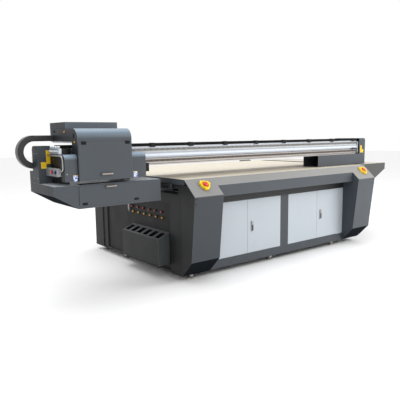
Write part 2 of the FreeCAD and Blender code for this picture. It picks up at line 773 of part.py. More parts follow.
def make_station_parts():
    """The station's front flap and the capping tray that lifts to seal the heads."""
    back = station_front - 0.5
    panel = block("bay_panel", (-957, -403), (back - 4, back), (812, 964))
    keep(fuse("bay_flap", panel, *pull_handle("bay_pull", (-735, -636), back - 4, 950)), "station_flap")
    pockets = [box_loop((x, x + 44), (250, 318)) for x in range(-922, -540, 66)]
    well = ("Z", (908, 940), pockets, ())
    tray = prism("caps", "Z", (890, 930), box_loop((-935, -525), (242, 326)), hollows=[well])
    keep(tray, "cap_tray")


def make_left_end():
    """Cover over the beam's left end, with the low step that the cable chain lies behind."""
    outer = [(housing_front, station_top + 1), (housing_front, housing_top), (housing_back, housing_top),
             (housing_back, step_top), (station_back, step_top), (station_back, station_top + 1)]
    inner = [(housing_front + skin, station_top - 10), (housing_front + skin, housing_top - skin),
             (housing_back - skin, housing_top - skin), (housing_back - skin, step_top - skin),
             (station_back - skin, step_top - skin), (station_back - skin, station_top - 10)]
    round_at = ((housing_back, housing_top), 38)
    inner_round = ((housing_back - skin, housing_top - skin), 35)
    inside = ("X", (station_left + skin, housing_right + 10), [inner], [inner_round])
    keep(prism("left_housing", "X", (station_left, housing_right), outer, rounds=[round_at],
               hollows=[inside]), "left_end_housing")
    keep(block("manifold", (-1072, beam_left - 1), (312, 520), (1216, 1262)), "end_manifold")
    buttons = (("start", 416), ("reset", 345))
    wells = ("X", (-1100, -1089), [(y, 1076, 11.4) for name, y in buttons], ())
    keep(prism("panel_box", "X", (-1095, -1062), box_loop((312, housing_front - 0.5), (1043, 1105)),
               hollows=[wells]), "control_box")
    for name, y in buttons:
        keep(rod(f"{name}_cap", "X", (-1106, y, 1076), 11, 14), f"{name}_button")


def make_conduit():
    """Rigid cable conduit: forwards from the end housing, round and back into the control box."""
    x = -1078
    height = 1205
    front = 230
    foot = 1088
    upper_bend = 42
    lower_bend = 28
    radius = 6
    start = FreeCAD.Vector(x, housing_front.number - 0.5, height)
    end = FreeCAD.Vector(x, 311.5, foot)
    corners = [FreeCAD.Vector(x, front + upper_bend, height), FreeCAD.Vector(x, front, height - upper_bend),
               FreeCAD.Vector(x, front, foot + lower_bend), FreeCAD.Vector(x, front + lower_bend, foot)]
    inset = 1 - math.sqrt(0.5)
    upper_middle = FreeCAD.Vector(x, front + upper_bend * inset, height - upper_bend * inset)
    lower_middle = FreeCAD.Vector(x, front + lower_bend * inset, foot + lower_bend * inset)
    path = Part.Wire([Part.LineSegment(start, corners[0]).toShape(),
                      Part.Arc(corners[0], upper_middle, corners[1]).toShape(),
                      Part.LineSegment(corners[1], corners[2]).toShape(),
                      Part.Arc(corners[2], lower_middle, corners[3]).toShape(),
                      Part.LineSegment(corners[3], end).toShape()])
    ring = Part.Wire([Part.makeCircle(radius, start, FreeCAD.Vector(0, -1, 0))])
    conduit = doc.addObject("Part::Feature", "conduit")
    conduit.Shape = path.makePipeShell([ring], True, False)
    keep(conduit, "end_conduit")


def make_right_end():
    """Box under the beam's right end, open to the left, and the cover over the beam's end."""
    inside = ("X", (box_left - 5, box_right - skin),
              [box_loop((box_front + skin, box_back - skin), (box_low + skin, beam_low - skin))], ())
    keep(prism("leg_box", "X", (box_left, box_right), box_loop((box_front, box_back), (box_low, beam_low)),
               hollows=[inside]), "right_leg_box")
    outer = box_loop((cover_left, box_right), (beam_low + 1, cover_top))
    cavity = ("Y", (box_front + skin, beam_back + 7),
              [box_loop((cover_left - 5, box_right - skin), (beam_low + 4, cover_top - skin))],
              [((box_right - skin, cover_top - skin), cover_round - skin)])
    keep(prism("end_cap", "Y", (box_front, beam_back + 10), outer,
               rounds=[((box_right, cover_top), cover_round)], hollows=[cavity]), "right_end_cover")


def make_chain_tray():
    """Trough behind the beam that the lower run of the cable chain lies in."""
    low = chain_low - 11
    lip = chain_back + 35
    profile = [(beam_back, low), (beam_back, low + 4), (lip - 3, low + 4), (lip - 3, low + 45),
               (lip, low + 45), (lip, low)]
    keep(prism("trough", "X", (beam_left, beam_right - 6), profile), "chain_tray")


# ------------------------------------------------------------------ carriage

BLOCK_PLACES = (-900, -560)


def make_carriage_plate():
    """Carriage plate with the motor's mover on its back and a shelf that reaches over the beam."""
    wide = (-950, -510)
    upright = block("upright", wide, (plate_front, plate_front + 14), (1100, rear_low))
    shelf = block("shelf", wide, (plate_front, rear_back - 2), (rear_low - 12, rear_low))
    mover = block("mover", (-800, -660), (plate_front + 12, beam_front - 14), (1166, 1200))
    keep(fuse("plate", upright, shelf, mover), "carriage_plate")
    blocks = []
    half = rail_wide / 2 + 0.3
    for i, z in enumerate((upper_rail, lower_rail)):
        for j, x in enumerate(BLOCK_PLACES):
            body = block(f"bearing_{i}_{j}", (x - 45, x + 45), (plate_front + 14, beam_front - 3),
                         (z - 19, z + 19))
            groove = block(f"bearing_groove_{i}_{j}", (x - 50, x + 50),
                           (beam_front - rail_high - 0.3, beam_front), (z - half, z + half))
            blocks.append(cut(f"bearing_block_{i}_{j}", body, groove))
    keep(group("bearings", blocks), "bearing_blocks")


def make_head_cover():
    """Carriage cover: a sheet shell rounded over its top front edge, open below and behind."""
    sill = rear_low + 2
    outer = [(head_front, head_low), (head_front, head_top), (head_back, head_top), (head_back, sill),
             (head_inner_back, sill), (head_inner_back, head_low)]
    inner = [(head_front + skin, head_low - 5), (head_front + skin, head_top - skin),
             (head_back - skin, head_top - skin), (head_back - skin, sill - 4),
             (head_inner_back + 10, sill - 4), (head_inner_back + 10, head_low - 5)]
    inner_round = ((head_front + skin, head_top - skin), head_round - skin)
    inside = ("X", (head_left + skin, head_right - skin), [inner], [inner_round])
    window = ("Y", (head_front - 10, head_front + 10), [box_loop((-940, -521), (1035, 1285))], ())
    keep(prism("hood", "X", (head_left, head_right), outer, rounds=[((head_front, head_top), head_round)],
               hollows=[inside, window]), "carriage_cover")
    back = head_front - 0.5
    panel = block("hood_panel", (head_left + 4, head_right - 4), (back - 4, back), (head_low + 3, 1304))
    keep(fuse("hood_flap", panel, *pull_handle("hood_pull", (-783, -679), back - 4, 1054)), "carriage_flap")


def make_lamp(name, left, right):
    """Curing lamp housing beside the heads, rounded over its top front edge, recessed underneath."""
    outer = box_loop((lamp_front, lamp_back), (lamp_low, lamp_top))
    window = ("Z", (lamp_low - 5, lamp_low + 22), [box_loop((left + 8, right - 8),
                                                            (lamp_front + 8, lamp_back - 8))], ())
    keep(prism(f"lamp_{name}", "X", (left, right), outer, rounds=[((lamp_front, lamp_top), lamp_round)],
               hollows=[window]), f"uv_lamp_{name}")


def make_rear_box():
    """Cable box on the shelf behind the carriage: the chain's upper run ends at its left side."""
    left, right = head_left + 2, head_right - 5
    front = head_back + 2
    inner = box_loop((front + skin, rear_back - skin), (rear_low + skin, rear_top - skin))
    inside = ("X", (left + skin, right - skin), [inner], ())
    port = ("Z", (rear_low - 5, rear_low + 10), [box_loop((-900, -560), (450, 600))], ())
    keep(prism("cable_box", "X", (left, right), box_loop((front, rear_back), (rear_low, rear_top)),
               hollows=[inside, port]), "rear_box")


def make_heads():
    """Print heads under their plate, the sub-tanks that feed them and the height sensor."""
    plate = block("head_plate", (-940, -520), (226, 292), (1046, 1056))
    heads = [block(f"head_{i}", (x, x + 42), (243, 287), (1006, 1047))
             for i, x in enumerate(range(-921, -540, 66))]
    keep(fuse("head_set", plate, *heads), "print_heads")
    tanks = [block(f"tank_{i}", (x, x + 48), (222, plate_front), (1180, 1284))
             for i, x in enumerate(range(-924, -540, 66))]
    keep(group("tanks", tanks), "sub_tanks")
    keep(block("sensor", (-357, -324), (216, 280), (1051, 1123)), "height_sensor")


def make_chain():
    """Cable chain: the half-round bend with its lower run, and the upper run up to the carriage."""
    centre_z = chain_low + chain_high / 2 + chain_radius
    outer_r = chain_radius + chain_high / 2
    inner_r = chain_radius - chain_high / 2
    wide = chain_back - chain_front
    disc = rod("bend_outer", "Y", (chain_bend_x, chain_front, centre_z), outer_r, wide)
    hole = rod("bend_inner", "Y", (chain_bend_x, chain_front, centre_z), inner_r, wide)
    half = block("bend_half", (chain_bend_x, chain_bend_x + 200), (chain_front, chain_back),
                 (centre_z - 200, centre_z + 200))
    run = block("lower_run", (chain_bend_x, chain_end_x), (chain_front, chain_back),
                (chain_low, chain_low + chain_high))
    keep(fuse("bend_and_run", cut("bend", disc, hole, half), run), "chain_loop")
    keep(block("upper_run", (chain_bend_x + 0.3, head_left + 1.7), (chain_front, chain_back),
               (centre_z + inner_r, centre_z + outer_r)), "chain_upper_run")


# ------------------------------------------------------------------ build, check and write

def make_all():
    """Make every part of the printer."""
    make_frame()
    make_feet()
    make_pillar("left_pillar", as_size(0))
    make_pillar("right_pillar", base_length - pillar_width)
    make_front_cover()
    make_door_surround()
    make_side_panels()
    make_wing()
    make_back_panel()
    make_bed()
    for number in range(4):
        make_door(number)
    for number in (1, 3):
        make_lock(number)
    make_ink_side()
    make_ink_tray()
    make_services()
    make_y_drive()
    make_stops()
    make_beam()
    make_supports()
    make_station()
    make_station_parts()
    make_left_end()
    make_conduit()
    make_right_end()
    make_chain_tray()
    make_carriage_plate()
    make_head_cover()
    make_lamp("left", as_size(-1071), head_left - 2)
    make_lamp("right", head_right + 2, as_size(-357))
    make_rear_box()
    make_heads()
    make_chain()


def check_all():
    """Stop if any object failed or any part has no valid shape."""
    for thing in doc.Objects:
        if "Invalid" in thing.State or "Error" in thing.State:
            raise RuntimeError(f"{thing.Name} failed: {thing.State}")
    for label, thing in parts.items():
        shape = thing.Shape
        if shape.isNull() or not shape.isValid() or not shape.Solids:
            raise RuntimeError(f"{label} has no valid solid")


make_all()
doc.recompute()
check_all()
os.makedirs("parts", exist_ok=True)
for label, thing in parts.items():
    thing.Shape.exportStep(f"parts/{label}.step")
print(len(parts), "parts written")
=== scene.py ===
"""Looks of a flatbed UV printer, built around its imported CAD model. Lengths are in metres."""

import math

import bmesh
import bpy
from mathutils import Matrix, Vector


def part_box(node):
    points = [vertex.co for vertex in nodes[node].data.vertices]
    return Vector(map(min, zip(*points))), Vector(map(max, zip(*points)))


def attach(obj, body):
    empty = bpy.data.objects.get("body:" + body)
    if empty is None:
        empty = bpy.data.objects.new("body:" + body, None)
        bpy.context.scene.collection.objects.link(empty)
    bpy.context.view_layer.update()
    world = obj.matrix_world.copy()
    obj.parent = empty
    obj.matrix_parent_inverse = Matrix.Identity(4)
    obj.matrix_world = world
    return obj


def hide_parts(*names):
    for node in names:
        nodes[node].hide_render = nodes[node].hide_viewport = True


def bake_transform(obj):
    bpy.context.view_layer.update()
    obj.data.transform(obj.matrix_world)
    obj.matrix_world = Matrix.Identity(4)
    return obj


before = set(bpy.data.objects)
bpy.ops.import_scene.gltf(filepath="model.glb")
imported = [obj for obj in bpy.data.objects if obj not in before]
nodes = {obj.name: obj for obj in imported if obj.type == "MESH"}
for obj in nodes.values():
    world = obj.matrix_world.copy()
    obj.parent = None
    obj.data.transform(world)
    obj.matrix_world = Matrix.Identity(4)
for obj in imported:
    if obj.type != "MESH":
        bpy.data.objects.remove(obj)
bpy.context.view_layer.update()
X, Y, Z = 0, 1, 2


# ------------------------------------------------------------------ node helpers

class Shader:
    """A material under construction: short calls that add and join nodes."""

    def __init__(self, name):
        self.material = bpy.data.materials.new(name)
        self.material.use_nodes = True
        self.tree = self.material.node_tree
        self.principled = self.tree.nodes["Principled BSDF"]

    def add(self, kind, inputs=None, **settings):
        """One node, with its settings and its inputs by name."""
        node = self.tree.nodes.new(kind)
        for key, value in settings.items():
            setattr(node, key, value)
        for key, value in (inputs or {}).items():
            self.put(node.inputs[key], value)
        return node

    def put(self, socket, value):
        """Link a socket, or set it to a plain value."""
        if isinstance(value, bpy.types.NodeSocket):
            self.tree.links.new(value, socket)
        else:
            socket.default_value = value

    def place(self, scale=(1, 1, 1)):
        """Object coordinates, stretched by a scale."""
        coordinates = self.add("ShaderNodeTexCoord").outputs["Object"]
        return self.add("ShaderNodeMapping", {"Vector": coordinates, "Scale": scale}).outputs["Vector"]

    def noise(self, scale, detail=2.0, rough=0.5, stretch=(1, 1, 1)):
        """Fractal noise from 0 to 1."""
        node = self.add("ShaderNodeTexNoise", {"Vector": self.place(stretch), "Scale": scale,
                                               "Detail": detail, "Roughness": rough})
        return node.outputs["Fac"]

    def span(self, value, low, high, out_low, out_high):
        """A value stretched from one range to another, and held inside it."""
        node = self.add("ShaderNodeMapRange", {"Value": value, "From Min": low, "From Max": high,
                                               "To Min": out_low, "To Max": out_high})
        return node.outputs["Result"]

    def math(self, operation, first, second=0.0):
        """One arithmetic step."""
        node = self.add("ShaderNodeMath", operation=operation)
        self.put(node.inputs[0], first)
        self.put(node.inputs[1], second)
        return node.outputs[0]

    def mix(self, factor, first, second):
        """A mix of two colours."""
        node = self.add("ShaderNodeMix", data_type="RGBA")
        self.put(node.inputs["Factor"], factor)
        self.put(node.inputs[6], colour(first))
        self.put(node.inputs[7], colour(second))
        return node.outputs[2]

    def normal_part(self, axis):
        """How far the surface faces along one axis, from -1 to 1."""
        normal = self.add("ShaderNodeNewGeometry").outputs["Normal"]
        return self.add("ShaderNodeSeparateXYZ", {"Vector": normal}).outputs[axis]

    def position_part(self, axis):
        """The surface's place along one axis of the object's frame, in metres."""
        place = self.add("ShaderNodeTexCoord").outputs["Object"]
        return self.add("ShaderNodeSeparateXYZ", {"Vector": place}).outputs[axis]

    def finish(self, base, rough, metallic=0.0, bump=None, depth=0.0002, round_edges=0.0, **extra):
        """Join everything to the surface shader."""
        self.put(self.principled.inputs["Base Color"], colour(base))
        self.put(self.principled.inputs["Roughness"], rough)
        self.put(self.principled.inputs["Metallic"], metallic)
        for key, value in extra.items():
            self.put(self.principled.inputs[key.replace("_", " ")], value)
        under = None
        if round_edges:
            under = self.add("ShaderNodeBevel", {"Radius": round_edges}, samples=4).outputs["Normal"]
            self.put(self.principled.inputs["Normal"], under)
        if bump is not None:
            node = self.add("ShaderNodeBump", {"Height": bump, "Strength": 0.5, "Distance": depth})
            if under is not None:
                self.put(node.inputs["Normal"], under)
            self.put(self.principled.inputs["Normal"], node.outputs["Normal"])
        return self.material


def colour(value):
    """A colour with its alpha, or the socket that it already is."""
    if isinstance(value, bpy.types.NodeSocket):
        return value
    return (*value[:3], 1.0)


def shade(value, factor):
    """A colour made lighter or darker."""
    return tuple(part * factor for part in value[:3])


# ------------------------------------------------------------------ materials

GREY = (0.050, 0.060, 0.072)
# Pale blue-grey for the painted highlight on curved crowns.
SKY_GREY = (0.16, 0.22, 0.28)
SHADOW = (0.010, 0.011, 0.012)
# Darker grey for the left pillar: painted shade, as both pillars share one paint.
SHADED_PILLAR = (0.025, 0.033, 0.042)
TRIM = (0.205, 0.207, 0.205)
DARK = (0.013, 0.0135, 0.0135)
BLACK = (0.006, 0.006, 0.006)
DOOR = (0.43, 0.47, 0.51)
BED = (0.61, 0.56, 0.46)
SILVER = (0.62, 0.65, 0.70)


def powder(shader, base, seamless=False):
    """Powder coat: faint cloudy variation; edges a little paler unless it is seamless, partly wear and
    partly a painted edge highlight; and painted shade on downward faces.
    """
    cloud = shader.span(shader.noise(2.2, 3), 0.3, 0.7, 0.0, 1.0)
    tone = shader.mix(cloud, shader.mix(0.93, (0, 0, 0), base), base)
    if not seamless:
        edge = shader.add("ShaderNodeBevel", {"Radius": 0.004}, samples=4).outputs["Normal"]
        true = shader.add("ShaderNodeNewGeometry").outputs["Normal"]
        turned = shader.add("ShaderNodeVectorMath", {0: edge, 1: true}, operation="DOT_PRODUCT")
        # Paler edges: partly wear, partly a painted highlight where edges catch the light.
        edge_wear_and_highlight = shader.span(turned.outputs["Value"], 0.97, 0.80, 0.0, 0.35)
        tone = shader.mix(edge_wear_and_highlight, tone, (0.32, 0.33, 0.35))
    # Painted shade: downward faces are mixed towards SHADOW.
    downward_shade = shader.span(shader.normal_part(Z), -0.3, -0.6, 0.0, 0.85)
    return shader.mix(downward_shade, tone, SHADOW)


def paint(name, base, rough=0.42, top=None, left=None, crown=None, seamless=False):
    """Powder-coated sheet: its left faces carry painted shade, darker and duller, in another given colour
    if asked.

    Upward faces can have another colour, a real worktop or painted light on a lit top, and a crown grows
    paler as a curved sheet turns upwards: a painted highlight.
    """
    shader = Shader(name)
    # Painted shade on left faces: a darker colour and a lower specular.
    leftward = shader.span(shader.normal_part(X), -0.5, -0.85, 0.0, 1.0)
    tint = shader.mix(leftward, base, left or shade(base, 0.35))
    if top:
        tint = shader.mix(shader.span(shader.normal_part(Z), 0.4, 0.5, 0.0, 1.0), tint, top)
    # Painted highlight: the crown pales where a curved sheet turns up to the light.
    if crown:
        tint = shader.mix(shader.span(shader.normal_part(Z), 0.05, 0.75, 0.0, 1.0), tint, crown)
    peel = shader.noise(420, 2)
    gloss = shader.span(shader.noise(5, 3), 0.3, 0.7, rough - 0.04, rough + 0.05)
    downward = shader.span(shader.normal_part(Z), -0.3, -0.6, 0.0, 1.0)
    gloss = shader.math("MAXIMUM", gloss, shader.math("MULTIPLY", downward, 0.9))
    specular = shader.math("MULTIPLY", shader.span(leftward, 0.0, 1.0, 0.5, 0.2),
                           shader.span(downward, 0.0, 1.0, 1.0, 0.0))
    return shader.finish(powder(shader, tint, seamless), gloss, bump=peel, depth=0.00012,
                         round_edges=0.0 if seamless else 0.002, Specular_IOR_Level=specular)


def brushed(name, base, along=(1, 60, 60), rough=0.32, metallic=0.85):
    """Metal with fine streaks along one direction."""
    shader = Shader(name)
    streak = shader.noise(9, 4, 0.6, along)
    tone = shader.mix(shader.span(streak, 0.35, 0.65, 0, 1), shade(base, 0.86), shade(base, 1.06))
    gloss = shader.span(streak, 0.3, 0.7, rough - 0.08, rough + 0.1)
    return shader.finish(tone, gloss, metallic, bump=streak, depth=0.0001, round_edges=0.001)


def moulded(name, base, rough=0.4, grain=0.0001, specular=0.5):
    """Moulded plastic with a fine spark-eroded grain."""
    shader = Shader(name)
    grainy = shader.noise(900, 1)
    cloud = shader.span(shader.noise(14, 3), 0.3, 0.7, 0, 1)
    tone = shader.mix(cloud, shade(base, 0.88), shade(base, 1.08))
    return shader.finish(tone, shader.span(grainy, 0.3, 0.7, rough - 0.05, rough + 0.08), bump=grainy,
                         depth=grain, round_edges=0.0012, Specular_IOR_Level=specular)


def bed_finish():
    """Anodised bed: pale matt top with rows of small suction holes and faint painted shading bands, and
    dark painted sides.
    """
    shader = Shader("bed_plate")
    pitch = 0.025
    squares = []
    for axis in (X, Y):
        wave = shader.math("PINGPONG", shader.position_part(axis), pitch / 2)
        near = shader.math("SUBTRACT", wave, pitch / 4)
        squares.append(shader.math("MULTIPLY", near, near))
    dot = shader.span(shader.math("ADD", *squares), 0.0012 ** 2, 0.0018 ** 2, 1.0, 0.0)
    # Faint streaky bands of painted shade on the top; the same noise also varies the gloss.
    shading_bands = shader.noise(1.3, 4, 0.6, (2.2, 0.5, 1))
    plate = shader.mix(shader.span(shading_bands, 0.35, 0.7, 0, 1), shade(BED, 0.95), BED)
    plate = shader.mix(dot, plate, shade(BED, 0.2))
    facing_up = shader.span(shader.normal_part(Z), 0.4, 0.6, 0, 1)
    tone = shader.mix(facing_up, GREY, plate)
    gloss = shader.span(shading_bands, 0.3, 0.7, 0.45, 0.55)
    return shader.finish(tone, gloss, bump=shader.noise(240, 2), depth=0.0001, round_edges=0.002,
                         Specular_IOR_Level=0.25)


def wing_finish():
    """Side console: pale worktop on top, grey paint elsewhere."""
    return paint("wing_paint", (0.062, 0.062, 0.060), top=(0.50, 0.46, 0.39))


def beam_finish():
    """Extruded beam: anodised, with drawn lines along its length and a darker underside."""
    shader = Shader("beam_extrusion")
    drawn = shader.noise(12, 3, 0.6, (0.6, 90, 90))
    tone = shader.mix(shader.span(drawn, 0.3, 0.7, 0, 1), shade(SILVER, 0.88), SILVER)
    low_band = shader.span(shader.position_part(Z), 1.158, 1.150, 0, 1)
    tone = shader.mix(low_band, tone, (0.55, 0.51, 0.48))
    return shader.finish(tone, 0.34, 0.55, bump=drawn, depth=0.0001, round_edges=0.0015)


def guide_finish():
    """Ground linear guide: bright steel, with a warm reflection of grease along its lower half."""
    shader = Shader("ground_guide")
    drawn = shader.noise(16, 3, 0.6, (0.5, 120, 120))
    bright = shader.mix(shader.span(drawn, 0.3, 0.7, 0, 1), (0.17, 0.165, 0.16), (0.25, 0.245, 0.24))
    lower = shader.span(shader.position_part(Z), 1.18, 1.17, 0, 1)
    tone = shader.mix(lower, bright, (0.12, 0.102, 0.09))
    return shader.finish(tone, 0.3, 0.6, bump=drawn, depth=0.00006, round_edges=0.001)


def magnet_finish():
    """Motor track: a cover strip that is near white along its middle, a painted highlight, and greyer at
    both edges.
    """
    shader = Shader("magnet_cover")
    drawn = shader.noise(10, 3, 0.5, (0.4, 80, 80))
    low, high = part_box("magnet_track")
    from_middle = shader.math("SUBTRACT", shader.position_part(Z), (low.z + high.z) / 2)
    # The near-white middle is a painted highlight.
    middle = shader.span(shader.math("ABSOLUTE", from_middle), 0.006, 0.015, 1, 0)
    tone = shader.mix(middle, (0.40, 0.43, 0.48), (0.74, 0.79, 0.87))
    tone = shader.mix(shader.span(drawn, 0.2, 0.8, 0, 0.12), tone, (0.4, 0.42, 0.46))
    return shader.finish(tone, 0.28, 0.4, bump=drawn, depth=0.00005)


def door_finish():
    """Door pans: pale powder coat with faint handling marks."""
    shader = Shader("door_coat")
    marks = shader.noise(3.2, 5, 0.7, (1, 1, 0.4))
    tone = shader.mix(shader.span(marks, 0.25, 0.75, 0, 1), shade(DOOR, 0.95), DOOR)
    scuff = shader.span(shader.noise(26, 6, 0.8, (1, 1, 3)), 0.70, 0.78, 0, 0.25)
    tone = shader.mix(scuff, tone, shade(DOOR, 0.7))
    return shader.finish(tone, shader.span(marks, 0.3, 0.7, 0.34, 0.44), bump=shader.noise(380, 2),
                         depth=0.0001, round_edges=0.002)


def lens_finish():
    """Signal lenses: the upper row red, the lower row yellow, each with a faint cloudy variation."""
    shader = Shader("lamp_lens")
    low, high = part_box("ink_lamps")
    upper = shader.math("GREATER_THAN", shader.position_part(Z), (low.z + high.z) / 2)
    cloud = shader.span(shader.noise(60, 2), 0.3, 0.7, 0, 1)
    red = shader.mix(cloud, (0.16, 0.006, 0.006), (0.24, 0.01, 0.008))
    yellow = shader.mix(cloud, (0.36, 0.18, 0.01), (0.52, 0.27, 0.02))
    tone = shader.mix(upper, yellow, red)
    return shader.finish(tone, 0.2, bump=shader.noise(150, 1), round_edges=0.002)


def sticker_finish(name, ground, mark, scale):
    """A blank sticker: a printed ground with a soft plain patch of a second colour."""
    shader = Shader(name)
    patch = shader.span(shader.noise(scale, 0), 0.50, 0.54, 0, 1)
    fibre = shader.noise(700, 2)
    return shader.finish(shader.mix(patch, ground, mark), 0.45, bump=fibre, depth=0.00005)


def surround_finish():
    """Front frame: grey paint, with a painted shadow above the doors, where the fascia hangs over it."""
    shader = Shader("surround_coat")
    fascia_shadow = shader.span(shader.position_part(Z), 0.690, 0.705, 0, 1)
    tone = shader.mix(fascia_shadow, shade(GREY, 0.8), SHADOW)
    return shader.finish(powder(shader, tone), 0.5, bump=shader.noise(420, 2), depth=0.0001,
                         round_edges=0.002)


def cover_finish():
    """Sloped trim and fascia: mid grey on the slope, a little paler and warmer towards the right as painted
    light from the right.
    """
    shader = Shader("front_cover_coat")
    # Painted light: the slope grows paler and warmer towards the right.
    light_from_right = shader.span(shader.position_part(X), -1.0, 1.7, 0, 1)
    slope = shader.mix(light_from_right, TRIM, (0.238, 0.232, 0.222))
    facing_up = shader.span(shader.normal_part(Z), 0.4, 0.5, 0, 1)
    tone = shader.mix(facing_up, GREY, slope)
    return shader.finish(powder(shader, tone), 0.42, bump=shader.noise(420, 2), depth=0.0001,
                         round_edges=0.002)


grey = paint("grey_coat", GREY)
# The curved hood and the UV lamps carry a painted highlight on their crowns.
grey_curved = paint("curved_coat", GREY, crown=SKY_GREY)
lamp_coat = paint("lamp_coat", GREY, crown=shade(SKY_GREY, 1.25))
rear_coat = paint("rear_box_coat", shade(GREY, 1.7), left=shade(GREY, 0.35))
# Both pillars share one paint: the left one is painted darker and the right one paler, as painted shade and
# painted light from the right.
grey_pillar = paint("pillar_coat", SHADED_PILLAR, left=DARK)
right_pillar_coat = paint("right_pillar_coat", shade(GREY, 0.95), left=GREY)
dark = paint("ink_side_coat", DARK, rough=0.5)
dark_sheet = paint("side_sheet_coat", DARK, rough=0.5, left=DARK, seamless=True)
tray_dark = paint("tray_coat", (0.050, 0.058, 0.060), rough=0.45, left=DARK)
black_coat = paint("black_coat", BLACK, rough=0.45, seamless=True)
frame_coat = paint("frame_coat", (0.05, 0.055, 0.06), rough=0.5)
light_coat = paint("light_coat", (0.52, 0.53, 0.55))
dark_steel = brushed("greased_steel", (0.07, 0.07, 0.07), (60, 1, 60), 0.4, 0.5)
filter_plastic = moulded("filter_plastic", (0.30, 0.30, 0.30), 0.35)
silver = brushed("silver_extrusion", SILVER, (1, 60, 60))
silver_block = brushed("silver_block", (0.70, 0.75, 0.80), (60, 1, 60), 0.25)
foot_steel = brushed("foot_steel", (0.50, 0.49, 0.44), (3, 3, 3), 0.4, 0.5)
steel = brushed("ground_steel", (0.40, 0.40, 0.40), (40, 40, 1), 0.3)
screw_steel = brushed("screw_steel", (0.40, 0.40, 0.41), (60, 1, 60), 0.25)
handle_steel = brushed("handle_steel", (0.36, 0.31, 0.27), (1, 50, 50), 0.3, 0.7)
cast = brushed("cast_alloy", (0.28, 0.28, 0.29), (3, 3, 3), 0.55, 0.4)
black_plastic = moulded("black_plastic", (0.006, 0.006, 0.007), 0.55, specular=0.2)
matt_black = moulded("matt_black", BLACK, 0.7, specular=0.1)
chain_plastic = moulded("chain_plastic", (0.045, 0.043, 0.043), 0.38)
white_plastic = moulded("white_plastic", (0.72, 0.72, 0.70), 0.35)
bottle_plastic = moulded("bottle_plastic", (0.50, 0.51, 0.53), 0.3)
red_plastic = moulded("red_plastic", (0.58, 0.022, 0.020), 0.28)
blue_plastic = moulded("blue_plastic", (0.012, 0.020, 0.16), 0.3)
yellow_plastic = moulded("yellow_plastic", (0.88, 0.60, 0.012), 0.35)
amber_plastic = moulded("amber_plastic", (0.62, 0.27, 0.01), 0.3)
rubber = moulded("rubber", (0.014, 0.014, 0.014), 0.7, 0.0003)
yellow_label = sticker_finish("yellow_label", (0.80, 0.50, 0.01), (0.84, 0.56, 0.02), 40)
blue_sticker = sticker_finish("blue_sticker", (0.74, 0.76, 0.80), (0.10, 0.22, 0.62), 75)

FINISHES = {
    "base_frame": frame_coat, "levelling_feet": foot_steel, "left_pillar": grey_pillar,
    "right_pillar": right_pillar_coat, "front_cover": cover_finish(), "door_surround": surround_finish(),
    "left_side_panel": dark_sheet, "right_side_panel": grey, "right_wing": wing_finish(),
    "back_panel": grey, "bed": bed_finish(), "y_rails": dark_steel, "y_motors": black_coat,
    "vacuum_blower": cast, "electrics_panel": light_coat, "ink_panel": dark, "ink_lamps": lens_finish(),
    "ink_tray": tray_dark, "ink_bottles": bottle_plastic, "ink_filter": filter_plastic,
    "stop_guards": yellow_plastic, "stop_button_left": red_plastic, "stop_button_right": red_plastic,
    "y_screw_left": screw_steel, "y_screw_right": screw_steel, "door_lock_1": steel, "door_lock_2": steel,
    "beam": beam_finish(), "x_rails": guide_finish(), "magnet_track": magnet_finish(),
    "cap_strip": matt_black, "gantry_supports": frame_coat,
    # The station case's top is pale blue-grey: painted light on its top face.
    "station_case": paint("station_coat", GREY, top=(0.42, 0.46, 0.50)), "left_end_housing": grey,
    "right_end_cover": grey, "right_leg_box": grey, "chain_tray": silver, "control_box": light_coat,
    "end_manifold": silver_block, "end_conduit": steel, "station_flap": grey, "cap_tray": black_plastic,
    "start_button": red_plastic, "reset_button": blue_plastic, "carriage_plate": silver,
    "bearing_blocks": steel, "carriage_cover": grey_curved, "uv_lamp_left": lamp_coat,
    "uv_lamp_right": lamp_coat, "rear_box": rear_coat, "height_sensor": black_plastic,
    "sub_tanks": white_plastic, "carriage_flap": grey, "print_heads": black_plastic,
    "chain_loop": chain_plastic,
}
doors = door_finish()
for number in range(1, 5):
    FINISHES[f"door_{number}"] = doors
for node_name, finish in FINISHES.items():
    mesh = nodes[node_name].data
    mesh.materials.clear()
    mesh.materials.append(finish)


# ------------------------------------------------------------------ piece helpers

FACING = {"Z": (0, "Z"), "X": (90, "Y"), "-X": (-90, "Y"), "Y": (-90, "X"), "-Y": (90, "X")}
SHARP_EDGE = math.radians(35)


def facing(axis):
    """The turn that faces a lathe shape along a named direction, or the turn that is given."""
    if isinstance(axis, Matrix):
        return axis
    angle, about = FACING[axis]
    return Matrix.Rotation(math.radians(angle), 4, about)


def at_depth(point, axis, depth):
    """An outline's point in space: its two coordinates, and a depth along the third axis."""
    values = list(point)
    values.insert(axis, depth)
    return values


def in_order(elements, place):
    """Put a mesh's vertices or faces in order of place, so that each run writes the same mesh."""
    for rank, element in enumerate(sorted(elements, key=place)):
        element.index = rank
    elements.sort()


